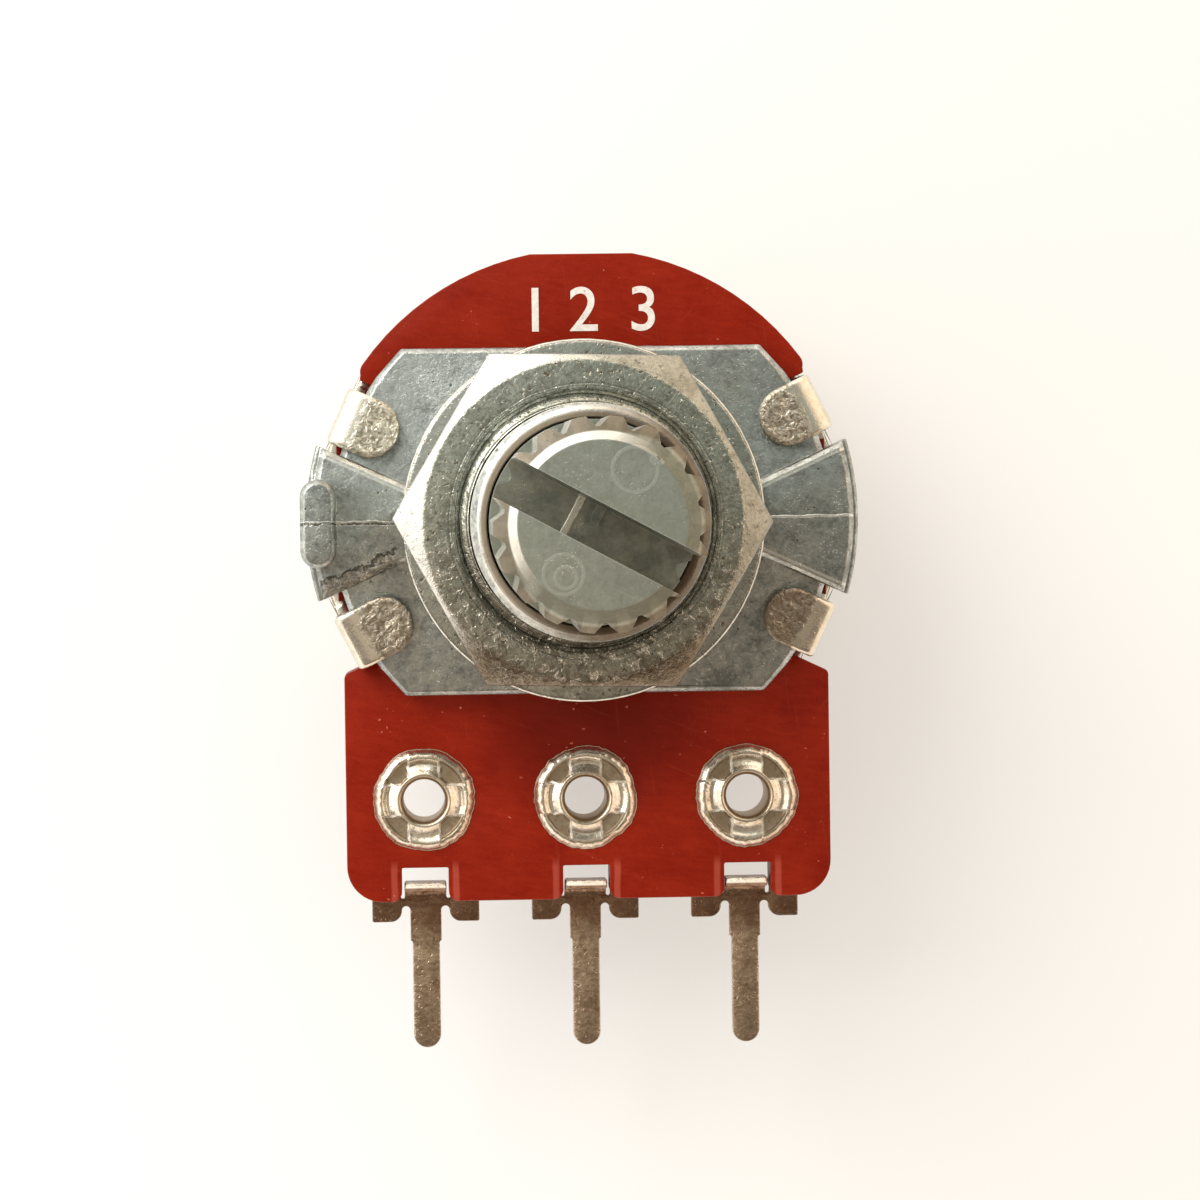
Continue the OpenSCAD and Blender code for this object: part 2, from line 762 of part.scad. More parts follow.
front_plate();
hex_nut();
flat_washer();
board();
resistance_track();
silver_print();
terminal(-pitch);  // terminal_left
terminal(0);  // terminal_middle
terminal(pitch);  // terminal_right
eyelet(-pitch);  // eyelet_left
eyelet(0);  // eyelet_middle
eyelet(pitch);  // eyelet_right
rear_cover();
detent_spring();
shaft();
rotor();
wiper();
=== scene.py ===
"""Rotary potentiometer with a centre detent: its finishes, its worked pieces, light and camera."""
import json
import math
import random
from functools import reduce

import bmesh
import bpy
from mathutils import Matrix, Vector, noise


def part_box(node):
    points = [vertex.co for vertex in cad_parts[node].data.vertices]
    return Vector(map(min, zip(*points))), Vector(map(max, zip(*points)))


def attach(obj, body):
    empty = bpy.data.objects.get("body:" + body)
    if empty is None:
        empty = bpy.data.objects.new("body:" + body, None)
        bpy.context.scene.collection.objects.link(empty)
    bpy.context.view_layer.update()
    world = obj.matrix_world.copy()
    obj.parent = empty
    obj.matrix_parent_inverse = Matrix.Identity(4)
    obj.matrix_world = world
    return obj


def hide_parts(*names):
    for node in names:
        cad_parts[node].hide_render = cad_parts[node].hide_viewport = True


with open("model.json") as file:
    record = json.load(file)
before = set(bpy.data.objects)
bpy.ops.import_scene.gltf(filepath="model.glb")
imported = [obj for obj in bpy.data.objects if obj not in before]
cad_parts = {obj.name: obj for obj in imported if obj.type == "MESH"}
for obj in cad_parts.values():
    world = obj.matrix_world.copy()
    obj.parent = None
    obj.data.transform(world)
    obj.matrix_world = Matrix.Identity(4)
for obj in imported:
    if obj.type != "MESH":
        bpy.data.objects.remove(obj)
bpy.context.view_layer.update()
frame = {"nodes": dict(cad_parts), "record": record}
NODES = frame["nodes"]
SLOTS = {part["node"]: part["material_slot"] for part in frame["record"]["subparts"]}

MM = 0.001
HOUSING = "housing"
TURNING = "shaft_assembly"

# Levels and places taken from the CAD pieces, in millimetres
BOARD_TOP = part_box("board")[1][2] / MM
BOARD_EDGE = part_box("board")[0][1] / MM
CAN_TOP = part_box("board")[0][2] / MM
CAN_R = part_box("rear_cover")[1][0] / MM
WASHER_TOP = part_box("flat_washer")[1][2] / MM
NUT_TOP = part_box("hex_nut")[1][2] / MM
BUSHING_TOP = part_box("front_plate")[1][2] / MM
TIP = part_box("shaft")[1][2] / MM
EYELET_Y = (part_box("eyelet_middle")[0][1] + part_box("eyelet_middle")[1][1]) / 2 / MM

# Sizes in millimetres, angles in degrees
SEAT = BOARD_TOP + 1.15    # the plate where the tabs lie; the wings stand higher
PITCH = 5.0                # from one terminal to the next
BUSHING_R = 3.5
WING_ROOT = 5.5            # from here outwards a wing's half width grows
WING_HALF = 1.2
WING_FLARE = 0.456
LIP_R = 0.82               # crest round an eyelet's mouth
LIP_HEIGHT = 0.3
FLANGE = 0.8               # from the crest to the flange's edge
ARM_HALF = 0.47            # half width of a swaged arm
TAB_ANGLE = 25.5
SLOT_ANGLE = 151.5
SLOT_FLOOR = TIP - 6.6


# ---------------------------------------------------------------- shader helpers

def rgb(r, g, b):
    """Display colour, 0 to 255 a channel, as a linear colour."""
    def linear(c):
        c = c / 255
        return c / 12.92 if c <= 0.04045 else ((c + 0.055) / 1.055) ** 2.4
    return (linear(r), linear(g), linear(b), 1.0)


class Nodes:
    """A node tree that is filled by name, with links given as sockets. Patterns lie on its
    place, a vector in millimetres."""

    def __init__(self, tree):
        self.tree = tree
        self.place = None
        tree.nodes.clear()

    def add(self, kind, inputs=None, **settings):
        """A new node: its settings, then its inputs by name or number."""
        node = self.tree.nodes.new(kind)
        for key, value in settings.items():
            setattr(node, key, value)
        for key, value in (inputs or {}).items():
            self.feed(node.inputs[key], value)
        return node

    def feed(self, socket, value):
        """Links a socket, or sets it on the node itself where the value is plain."""
        if isinstance(value, bpy.types.NodeSocket):
            self.tree.links.new(value, socket)
        else:
            socket.default_value = value

    def math(self, operation, a, b=0.5, clamp=False):
        """Maths on a and b, or on a alone where the operation takes one value."""
        return self.add("ShaderNodeMath", {0: a, 1: b}, operation=operation,
                        use_clamp=clamp).outputs[0]

    def vector(self, operation, a, b=(0, 0, 0)):
        """Vector maths on a and b, where b is a number only for SCALE."""
        node = self.add("ShaderNodeVectorMath",
                        {0: a, "Scale" if operation == "SCALE" else 1: b}, operation=operation)
        return node.outputs[
            "Value" if operation in ("LENGTH", "DISTANCE", "DOT_PRODUCT") else "Vector"]

    def total(self, *terms):
        """Sum of weighted values, given as pairs of weight and value."""
        return reduce(lambda a, b: self.math("ADD", a, b),
                      [self.math("MULTIPLY", value, weight) for weight, value in terms])

    def both(self, *masks):
        """Where all of the masks are."""
        return reduce(lambda a, b: self.math("MULTIPLY", a, b), masks)

    def either(self, *masks):
        """Where any of the masks is."""
        return reduce(lambda a, b: self.math("MAXIMUM", a, b), masks)

    def rest(self, mask):
        """Where a mask is not."""
        return self.math("SUBTRACT", 1.0, mask)

    def mix(self, factor, a, b):
        """Colour a where the factor is 0, b where it is 1."""
        return self.add("ShaderNodeMix", {0: factor, 6: a, 7: b}, data_type="RGBA").outputs[2]

    def blend(self, factor, a, b):
        """Number a where the factor is 0, b where it is 1."""
        return self.add("ShaderNodeMix", {0: factor, 2: a, 3: b}, data_type="FLOAT").outputs[0]

    def span(self, value, low, high, to_low=0.0, to_high=1.0, smooth=False):
        """0 at low, 1 at high, and even between them, unless other ends are given."""
        return self.add("ShaderNodeMapRange",
                        {0: value, 1: low, 2: high, 3: to_low, 4: to_high},
                        interpolation_type="SMOOTHSTEP" if smooth else "LINEAR").outputs[0]

    def near(self, value, at, reach, soft):
        """1 where a value is within reach of a place, fading to 0 over a soft border."""
        away = self.math("ABSOLUTE", self.math("SUBTRACT", value, at))
        return self.span(away, reach, reach + soft, 1.0, 0.0, smooth=True)

    def noise(self, scale, detail=3.0, rough=0.55, distort=0.0, place=None):
        return self.add("ShaderNodeTexNoise",
                        {"Vector": self.place if place is None else place, "Scale": scale,
                         "Detail": detail, "Roughness": rough, "Distortion": distort}).outputs[0]

    def blots(self, low, high, *pattern):
        """Blots of a noise pattern: none where it is low, full where it is high."""
        return self.span(self.noise(*pattern), low, high)

    def sway(self, width, *pattern):
        """A shift to either side of nothing, from a noise pattern."""
        return self.math("MULTIPLY", self.math("SUBTRACT", self.noise(*pattern), 0.5), width)

    def cells(self, scale, feature="F1"):
        return self.add("ShaderNodeTexVoronoi", {"Vector": self.place, "Scale": scale},
                        feature=feature).outputs["Distance"]

    def turned(self, angle, scale, shift=(0, 0, 0)):
        """The place turned about Z, then stretched."""
        turn = self.add("ShaderNodeMapping", {"Vector": self.place, "Location": shift,
                                              "Rotation": (0, 0, math.radians(angle))})
        return self.vector("MULTIPLY", turn.outputs[0], scale)

    def axes(self, place=None):
        return self.add("ShaderNodeSeparateXYZ",
                        {0: self.place if place is None else place}).outputs

    def from_axis(self, x=0.0, y=0.0):
        """Distance from an upright axis, the shaft's own unless another is given."""
        centred = self.vector("ADD", self.place, (-x, -y, 0))
        return self.vector("LENGTH", self.vector("MULTIPLY", centred, (1, 1, 0)))

    def give(self, **values):
        """Ends a node group with its outputs, and returns the group."""
        for label in values:
            self.tree.interface.new_socket(label, in_out="OUTPUT",
                                           socket_type="NodeSocketFloat")
        self.add("NodeGroupOutput", values)
        return self.tree


def effect(name, **inputs):
    """Starts a node group that takes a place and some numbers, and gives masks and values."""
    group = bpy.data.node_groups.new(name, "ShaderNodeTree")
    group.interface.new_socket("Place", in_out="INPUT", socket_type="NodeSocketVector")
    for label, value in inputs.items():
        socket = group.interface.new_socket(label, in_out="INPUT", socket_type="NodeSocketFloat")
        socket.default_value = value
    t = Nodes(group)
    given = t.add("NodeGroupInput").outputs
    t.place = given["Place"]
    return t, given


def make_skin_effect():
    """Skin of a casting: clouds, grain, small sunk pits and bright flecks."""
    t, given = effect("Casting skin", Pits=0.5)
    clouds = t.noise(0.8, 3.0, 0.6, 0.4)
    patches = t.noise(3.4, 4.0, 0.62, 0.5)
    grain = t.noise(11.0, 3.0, 0.6)
    tone = t.span(t.total((0.34, clouds), (0.4, patches), (0.26, grain)), 0.4, 0.6)
    spread = t.span(t.noise(2.4, 2.0, 0.5), 0.48, 0.7, 0.0, 0.2)
    pit = t.span(t.math("SUBTRACT", spread, t.cells(4.5)), -0.02, 0.03, smooth=True)
    pit = t.math("MULTIPLY", pit, given["Pits"], clamp=True)
    fleck = t.both(t.blots(0.66, 0.72, 15.0, 1.0, 0.4), t.blots(0.46, 0.62, 1.3, 2.0, 0.5))
    height = t.total((0.5, patches), (0.34, grain), (0.5, fleck), (-0.5, pit))
    return t.give(Tone=tone, Pit=pit, Height=height, Fleck=fleck)


def make_edge_effect():
    """How close a point is to a sharp edge, from 0 to 1, broken up by wear."""
    t, given = effect("Edge wear", Reach=0.1, Ragged=0.5)
    soft = t.add("ShaderNodeBevel", {"Radius": t.math("MULTIPLY", given["Reach"], MM)},
                 samples=6).outputs[0]
    true = t.add("ShaderNodeNewGeometry").outputs["Normal"]
    edge = t.span(t.vector("DOT_PRODUCT", soft, true), 0.985, 0.8, smooth=True)
    worn = t.blend(given["Ragged"], 1.0, t.blots(0.35, 0.6, 4.0, 3.0, 0.6))
    return t.give(Edge=t.math("MULTIPLY", edge, worn, clamp=True))


def make_scratch_effect():
    """Fine straight scratches in three directions."""
    t, given = effect("Scratches", Amount=0.5)
    found = []
    for angle, shift in ((24.0, 3.0), (-52.0, 7.0), (83.0, 11.0)):
        lines = t.noise(1.0, 1.0, 0.4, place=t.turned(angle, (0.32, 9.0, 0.32), (shift, 0, 0)))
        found.append(t.span(lines, 0.725, 0.76))
    return t.give(Scratch=t.math("MULTIPLY", t.either(*found), given["Amount"], clamp=True))


def make_crinkle_effect():
    """Pressed, crumpled tin: sharp folds round small facets."""
    t, given = effect("Crinkle", Size=1.0)
    place = t.vector("SCALE", given["Place"], given["Size"])
    bend = t.add("ShaderNodeTexNoise", {"Vector": place, "Scale": 2.2, "Detail": 2.0})
    t.place = t.vector("ADD", place, t.vector("SCALE", bend.outputs["Color"], 0.5))
    folds = t.span(t.cells(3.6, "DISTANCE_TO_EDGE"), 0.0, 0.25)
    return t.give(Height=t.total((1.0, folds), (1.2, t.noise(4.5, 3.0, 0.6))),
                  Tone=t.blots(0.38, 0.62, 5.0, 4.0, 0.65))


def make_plating_effect():
    """Plated metal: patchy shine, grain, dark spots and bright flecks."""
    t, given = effect("Plating", Litter=0.5)
    patches = t.noise(2.1, 4.0, 0.62, 0.5)
    grain = t.noise(9.0, 3.0, 0.62)
    spots = t.blots(0.62, 0.7, 6.0, 2.0, 0.5)
    fleck = t.both(t.blots(0.69, 0.74, 8.5, 1.0, 0.4), t.blots(0.48, 0.6, 1.1))
    raised = t.math("MULTIPLY", fleck, given["Litter"])
    return t.give(Tone=t.span(t.total((0.55, patches), (0.45, grain)), 0.39, 0.61),
                  Spot=spots, Fleck=fleck,
                  Height=t.total((0.55, patches), (0.4, grain), (-0.22, spots), (0.5, raised)))


def make_print_effect():
    """Screen printing: uneven cover, and places where it is worn thin."""
    t, _ = effect("Print")
    return t.give(Tone=t.noise(7.0, 4.0, 0.65), Thin=t.blots(0.6, 0.68, 3.5, 4.0, 0.7))


SKIN = make_skin_effect()
PLATING = make_plating_effect()
PRINT = make_print_effect()
EDGE = make_edge_effect()
SCRATCH = make_scratch_effect()
CRINKLE = make_crinkle_effect()


class Finish(Nodes):
    """A material with one Principled shader, whose shade, height and roughness are built up
    layer by layer."""

    def __init__(self, name, **fixed):
        self.material = bpy.data.materials.new(name)
        self.material.use_nodes = True
        super().__init__(self.material.node_tree)
        self.shader = self.add("ShaderNodeBsdfPrincipled")
        for key, value in fixed.items():
            self.shader.inputs[key.replace("_", " ")].default_value = value
        self.add("ShaderNodeOutputMaterial", {0: self.shader.outputs[0]})
        own = self.add("ShaderNodeTexCoord").outputs["Object"]
        self.place = self.vector("SCALE", own, 1 / MM)
        self.shade = self.height = self.rough = None

    def use(self, group, **inputs):
        """Places an effect, and returns what it gives."""
        return self.add("ShaderNodeGroup", {"Place": self.place, **inputs},
                        node_tree=group).outputs

    def paint(self, mask, colour, strength=1.0):
        """Lays a colour over the shade, as strongly as given, where a mask is."""
        amount = mask if strength == 1.0 else self.math("MULTIPLY", mask, strength)
        self.shade = self.mix(amount, self.shade, colour)

    def emboss(self, *terms):
        """Adds weighted values, given as pairs of weight and value, to the height."""
        self.height = self.total((1.0, self.height), *terms)

    def dull(self, mask, rough):
        """Changes the roughness where a mask is."""
        self.rough = self.blend(mask, self.rough, rough)

    def close(self, depth):
        """Feeds the shader, where a height of 1 stands out by depth in millimetres, and
        returns the material."""
        bump = self.add("ShaderNodeBump", {"Strength": 1.0, "Distance": depth * MM,
                                           "Height": self.height})
        self.feed(self.shader.inputs["Base Color"], self.shade)
        self.feed(self.shader.inputs["Roughness"], self.rough)
        self.feed(self.shader.inputs["Normal"], bump.outputs[0])
        return self.material


# ---------------------------------------------------------------- finishes

def zinc(name, light, dark, marks, pits=0.8, rough=(0.24, 0.42), relief=0.035):
    """Bare die-cast zinc: clouded, grainy and pitted; its edges are painted bright, part wear and
    part painted highlight.
    """
    m = Finish(name, Metallic=1.0)
    skin = m.use(SKIN, Pits=pits)
    m.shade = m.mix(skin["Tone"], dark, light)
    m.height = skin["Height"]
    m.rough = m.blend(skin["Tone"], rough[1], rough[0])
    m.paint(skin["Pit"], rgb(60, 57, 52))
    m.paint(skin["Fleck"], rgb(236, 234, 226), 0.3)
    m.paint(m.use(SCRATCH, Amount=0.3)["Scratch"], rgb(226, 226, 218), 0.5)
    # edges painted bright: partly wear, partly painted highlight
    m.paint(m.use(EDGE, Reach=0.075, Ragged=0.5)["Edge"], rgb(240, 238, 230), 0.85)
    marks(m)
    return m.close(relief)


def casting_marks(m):
    """Parting line over both wings, torn flash on the lower left, a painted highlight for a ledge
    inside the wings' edges, and on the bushing's rim and bore a painted highlight on the upper
    left side and painted brown shade on the other."""
    x, y, z = m.axes()
    out = m.math("ABSOLUTE", x)
    top = m.span(z, SEAT + 0.2, SEAT + 0.3)
    right = m.span(x, 0.0, 0.1)
    wing = m.both(m.span(out, WING_ROOT - 0.1, WING_ROOT), top)
    half = m.math("ADD", WING_HALF,
                  m.math("MULTIPLY", m.math("SUBTRACT", out, WING_ROOT), WING_FLARE))
    # parting line: raised and bright, but broken and cracked on the left
    waver = m.sway(0.2, 1.6, 3.0, 0.7)
    across = m.math("ADD", y, waver)
    broken = m.blots(0.4, 0.5, 5.0, 2.0)
    line = m.both(m.near(across, 0.03, 0.02, 0.03), wing)
    m.paint(m.both(line, m.blend(right, m.math("MULTIPLY", broken, 0.5), 0.85)),
            rgb(232, 236, 232))
    crack = m.both(m.near(across, -0.02, 0.025, 0.03), wing, m.rest(right), broken)
    m.paint(crack, rgb(66, 60, 54), 0.8)
    m.emboss((0.5, line), (-0.6, crack))
    # torn flash along the lower edge of the left wing
    left = m.both(m.span(x, -5.6, -5.8), top)
    above = m.total((1.0, y), (1.0, half), (1.0, m.sway(1.1, 2.4, 4.0, 0.65)))
    torn = m.both(m.span(above, 0.5, 0.42, smooth=True), left)
    gnarl = m.noise(4.6, 4.0, 0.7, 1.0)
    m.paint(torn, m.mix(m.span(gnarl, 0.42, 0.58), rgb(84, 74, 62), rgb(158, 148, 132)), 0.7)
    m.paint(m.both(m.near(above, 0.48, 0.03, 0.06), left), rgb(62, 52, 46), 0.8)
    m.emboss((2.2, m.both(torn, gnarl)), (-1.2, torn))
    # painted highlight along a ledge just inside the wings' edges, apart from the torn one
    ledge = m.both(top, m.span(out, 5.0, 5.4))
    inside = m.math("SUBTRACT", half,
                    m.blend(right, m.math("MAXIMUM", y, 0.0), m.math("ABSOLUTE", y)))
    m.paint(m.both(ledge, m.span(inside, 0.24, 0.2)), rgb(226, 226, 218), 0.25)
    # painted highlight on the ledge's crest
    crest = m.near(m.total((1.0, inside), (0.3, waver)), 0.25, 0.025, 0.04)
    m.paint(m.both(ledge, crest), rgb(240, 240, 234), 0.75)
    # the bushing's rim and the edge of its bore, with painted highlight on the upper left side
    # and painted shade on the other
    upper_left = m.span(m.total((-0.8, x), (0.3, y)), -1.2, 1.6)
    rim = m.span(z, BUSHING_TOP - 0.3, BUSHING_TOP - 0.2)
    # painted highlight on the rim's upper left side, painted brown shade on the rest
    m.paint(m.both(rim, upper_left), rgb(253, 250, 242), 0.9)
    m.paint(m.both(rim, m.rest(upper_left)), rgb(106, 90, 70), 0.85)
    bore = m.both(m.span(m.from_axis(), 3.27, 3.21),
                  m.span(z, BUSHING_TOP - 0.6, BUSHING_TOP - 0.5))
    # painted shade on the bore's edge, lighter towards the upper left
    m.paint(bore, m.mix(upper_left, rgb(96, 80, 62), rgb(156, 130, 100)), 0.7)
    m.dull(bore, 0.5)


def tip_marks(m):
    """The shaft's end: a band of painted brown shade, a cone with a painted highlight on its upper
    left side and painted grey shade on the other, ejector rings, and a pale line across the
    slot's floor, which has painted shade."""
    turn = math.radians(SLOT_ANGLE)
    cos, sin = math.cos(turn), math.sin(turn)
    x, y, z = m.axes()
    out = m.from_axis()
    upper_left = m.span(m.total((-0.75, x), (0.66, y)), 0.0, 1.3)
    lower_right = m.rest(upper_left)
    # painted brown shade on a band round the end
    shaded_band = m.span(m.total((1.0, out), (-0.24, lower_right)), 2.5, 2.62)
    m.paint(m.both(shaded_band, m.span(z, TIP - 0.5, TIP - 0.42)), rgb(112, 98, 80), 0.75)
    # painted highlight on the cone's upper left side
    cone = m.both(m.near(out, 2.45, 0.1, 0.05), m.span(z, TIP - 0.3, TIP - 0.2))
    m.paint(m.both(cone, upper_left), rgb(250, 249, 242))
    # painted grey shade on the cone's lower right side
    cone = m.both(m.span(out, 2.32, 2.36), m.span(out, 2.78, 2.7),
                  m.span(z, TIP - 0.36, TIP - 0.3))
    m.paint(m.both(cone, lower_right), rgb(128, 130, 118), 0.8)
    # a ring's place along the slot and beside it, its radius and half its width
    rings = [m.near(m.from_axis(a * cos - b * sin, a * sin + b * cos), radius, width, 0.04)
             for a, b, radius, width in ((-0.1, -1.75, 0.62, 0.03), (0.3, 1.7, 0.55, 0.03),
                                         (-0.5, -2.3, 0.14, 0.05), (0.2, 1.75, 0.3, 0.03))]
    rings = m.both(m.either(*rings), m.span(z, TIP - 0.06, TIP - 0.03))
    m.paint(rings, rgb(226, 228, 222), 0.35)
    # painted shade, mottled, on the floor of the slot
    floor = m.both(m.span(z, SLOT_FLOOR + 0.6, SLOT_FLOOR + 0.2),
                   m.span(z, SLOT_FLOOR - 0.4, SLOT_FLOOR - 0.2))
    m.paint(floor, m.mix(m.blots(0.4, 0.6, 1.6, 4.0, 0.6), rgb(70, 58, 46),
                         rgb(150, 136, 116)), 0.45)
    along = m.total((cos, x), (sin, y), (1.0, m.sway(0.16, 2.0)))
    cross = m.both(m.near(along, 0.62, 0.085, 0.05), floor)
    m.paint(cross, rgb(236, 230, 214))
    m.emboss((0.25, rings), (1.0, cross))


def plated(name, light, dark, rough=(0.18, 0.34), relief=0.03, tarnish=0.5, stain=(96, 82, 66),
           edge=(246, 242, 230), reach=0.07, litter=0.6, marks=None):
    """Plated metal: patchy shine, grain, dark spots, bright flecks and fine scratches."""
    m = Finish(name, Metallic=1.0)
    skin = m.use(PLATING, Litter=litter)
    scratch = m.use(SCRATCH, Amount=0.3)["Scratch"]
    m.shade = m.mix(skin["Tone"], dark, light)
    m.height = m.total((1.0, skin["Height"]), (-0.2 * litter, scratch))
    m.rough = m.blend(skin["Tone"], rough[1], rough[0])
    m.paint(skin["Spot"], rgb(*stain), tarnish)
    m.paint(m.either(skin["Fleck"], scratch), rgb(*edge), litter)
    # edges painted bright: partly wear, partly painted highlight
    m.paint(m.use(EDGE, Reach=reach, Ragged=0.35)["Edge"], rgb(*edge), 0.7)
    if marks:
        marks(m)
    return m.close(relief)


def nut_marks(m):
    """Turned rings round the thread, painted brown shade with dents and blots towards the lower
    side, and a slope with a painted highlight on the left, painted grey shade on the right and
    painted brown shade at the bottom."""
    x, y, z = m.axes()
    out = m.from_axis()
    face_r = 4.5
    radius = m.total((1.0, out), (0.08, m.noise(1.2)))
    inner = m.both(m.span(radius, face_r, face_r - 0.5),
                   m.span(z, NUT_TOP - 0.4, NUT_TOP - 0.3))
    line = m.add("ShaderNodeCombineXYZ", {0: m.math("MULTIPLY", radius, 9.0)}).outputs[0]
    rings = m.both(m.span(m.noise(1.0, 1.0, place=line), 0.5, 0.62), inner)
    m.paint(rings, rgb(92, 88, 80), 0.55)
    # painted brown shade towards the lower side, where the dents and blots also lie
    shaded_lower_side = m.span(m.total((1.0, y), (2.0, m.noise(0.8))), 1.5, -3.5)
    m.paint(shaded_lower_side, rgb(122, 100, 80), 0.3)
    dents = m.both(shaded_lower_side, m.blots(0.59, 0.64, 4.2, 2.0, 0.6, 0.8))
    m.paint(dents, rgb(232, 222, 208), 0.6)
    m.paint(m.both(shaded_lower_side, m.blots(0.52, 0.6, 2.6, 4.0, 0.7)), rgb(74, 62, 50), 0.45)
    slope = m.both(m.span(out, face_r, face_r + 0.1),
                   m.span(z, NUT_TOP - 0.01, NUT_TOP - 0.05))
    bottom = m.span(m.total((1.0, y), (1.2, m.noise(2.0))), -2.2, -3.2)
    left = m.span(x, 1.0, -1.5)
    # painted highlight on the slope's left, painted grey shade on its right
    m.paint(m.both(slope, m.rest(bottom)),
            m.mix(left, rgb(150, 148, 138), rgb(252, 251, 246)), 0.6)
    # painted brown shade on the slope's bottom
    m.paint(m.both(slope, bottom), rgb(112, 94, 76), 0.6)
    m.emboss((-0.6, dents), (-0.4, rings))
    m.dull(slope, 0.26)


def eyelet_marks(m):
    """Swaged ends: painted shade in the mouth and on the sunk facets, and painted highlights along
    the creases beside the four arms.
    """
    x, y, z = m.axes()
    column = m.math("FLOORED_MODULO", m.math("ADD", x, PITCH / 2), PITCH)
    column = m.math("SUBTRACT", column, PITCH / 2)
    row = m.math("SUBTRACT", y, EYELET_Y)
    out = m.vector("LENGTH", m.add("ShaderNodeCombineXYZ", {0: column, 1: row}).outputs[0])
    side = m.math("ADD", m.sway(0.1, 3.2, 2.0),
                  m.math("MINIMUM", m.math("ABSOLUTE", column), m.math("ABSOLUTE", row)))
    ring = m.both(m.span(z, BOARD_TOP, BOARD_TOP + 0.02), m.span(out, LIP_R, LIP_R + 0.04),
                  m.span(out, 1.38, 1.3))
    # painted shade on the sunk facets between the arms
    facet = m.both(ring, m.span(side, ARM_HALF - 0.01, ARM_HALF + 0.03))
    m.paint(facet, rgb(150, 128, 98), 0.7)
    # painted highlight along the creases beside the arms
    crease_highlight = m.both(ring, m.near(side, ARM_HALF + 0.005, 0.025, 0.025))
    m.paint(crease_highlight, rgb(254, 250, 242), 0.9)
    # painted shade inside the mouth
    mouth = m.span(out, 0.765, 0.735)
    m.paint(mouth, rgb(176, 150, 118), 0.85)
    m.dull(m.either(facet, mouth), 0.42)
    m.dull(crease_highlight, 0.6)


def pin_marks(m):
    """Terminals: painted shade round the root and ears, and a painted highlight on the sheared
    end.
    """
    _, y, z = m.axes()
    # painted dark shade round the root and ears, by the board's edge
    root = m.span(m.math("ADD", y, m.sway(0.5, 3.0)), BOARD_EDGE - 1.5, BOARD_EDGE - 0.7)
    m.paint(root, rgb(122, 82, 56), 0.7)
    # painted highlight on the sheared end
    end = m.both(m.span(z, BOARD_TOP - 0.6, BOARD_TOP - 0.54),
                 m.span(y, BOARD_EDGE + 0.35, BOARD_EDGE + 0.4))
    m.paint(end, rgb(255, 250, 240))
    m.dull(end, 0.25)


def tab_marks(m):
    """The ends of the can's tabs, crumpled by the punch that folded them, with painted brown
    shade on them towards the lower side.
    """
    x, y, z = m.axes()
    out = m.math("ADD", m.from_axis(), m.sway(0.5, 3.0))
    struck = m.both(m.span(z, SEAT + 0.22, SEAT + 0.3), m.span(out, 7.6, 7.42, smooth=True))
    crumple = m.use(CRINKLE, Size=1.5)
    m.paint(struck, m.mix(crumple["Tone"], rgb(140, 132, 112), rgb(236, 231, 216)), 0.85)
    # painted brown shade on the struck ends, deeper towards the lower side
    low = m.span(m.total((0.35, x), (-1.0, y)), -4.0, 4.0)
    m.paint(m.both(struck, low), rgb(124, 94, 70), 0.6)
    m.height = m.total((0.6, m.height), (0.6, m.both(struck, crumple["Height"])))
    m.dull(struck, 0.42)


def phenolic(name):
    """Red laminate: faintly cloudy, with fibres, dust and fine scratches. It has painted shade by
    the middle terminal, below the plate, is darker on its sawn walls, and is pressed in two bars
    beside each terminal."""
    m = Finish(name, Specular_IOR_Level=0.16, Specular_Tint=(1.0, 0.66, 0.56, 1.0))
    x, y, z = m.axes()
    clouds = m.noise(0.5, 3.0, 0.6, 0.3)
    fibres = m.noise(1.0, 5.0, 0.65, 0.6, place=m.turned(8.0, (1.2, 5.0, 5.0)))
    fine = m.noise(18.0, 3.0, 0.6)
    tone = m.span(m.total((0.4, clouds), (0.35, fibres), (0.25, fine)), 0.36, 0.64)
    m.shade = m.mix(tone, rgb(122, 18, 2), rgb(146, 33, 8))
    m.rough = m.blend(tone, 0.34, 0.46)
    # painted shade on the board by the middle terminal, below the plate
    away = m.vector("DISTANCE", m.vector("MULTIPLY", m.place, (0.72, 1, 0)), (0.1, -6.6, 0))
    m.paint(m.span(away, 3.4, 0.8, smooth=True), rgb(84, 8, 2), 0.62)
    wall = m.rest(m.span(z, BOARD_TOP - 0.14, BOARD_TOP - 0.08))
    m.paint(wall, rgb(104, 26, 14), 0.6)
    waved = m.total((1.0, x), (0.06, m.noise(1.5)))
    bars = [m.near(waved, place + side + 0.03, 0.06, 0.07)
            for place in (-PITCH, 0.0, PITCH) for side in (-0.95, 0.95)]
    press = m.both(m.either(*bars), m.span(y, BOARD_EDGE + 1.3, BOARD_EDGE + 1.0))
    m.paint(press, rgb(206, 104, 84), 0.3)
    scratch = m.use(SCRATCH, Amount=0.08)["Scratch"]
    dust = m.both(m.blots(0.75, 0.79, 7.0, 1.0, 0.4), m.blots(0.5, 0.56, 0.9))
    m.paint(m.either(m.math("MULTIPLY", scratch, 0.4), m.math("MULTIPLY", dust, 0.6)),
            rgb(214, 120, 98))
    m.paint(m.use(EDGE, Reach=0.06, Ragged=0.6)["Edge"], rgb(192, 84, 58), 0.35)
    m.height = m.total((0.5, fibres), (0.3, fine), (0.4, press), (-0.3, scratch))
    return m.close(0.012)


def ink(name, light, dark, rough, worn=0.0):
    """Printed ink or a dull moulding, slightly uneven. Worn ink is thin over the red board."""
    m = Finish(name)
    cover = m.use(PRINT)
    m.shade = m.mix(m.span(cover["Tone"], 0.35, 0.65), dark, light)
    m.height = cover["Tone"]
    m.rough = rough
    if worn:
        m.paint(cover["Thin"], rgb(150, 40, 20), worn)
    return m.close(0.01)


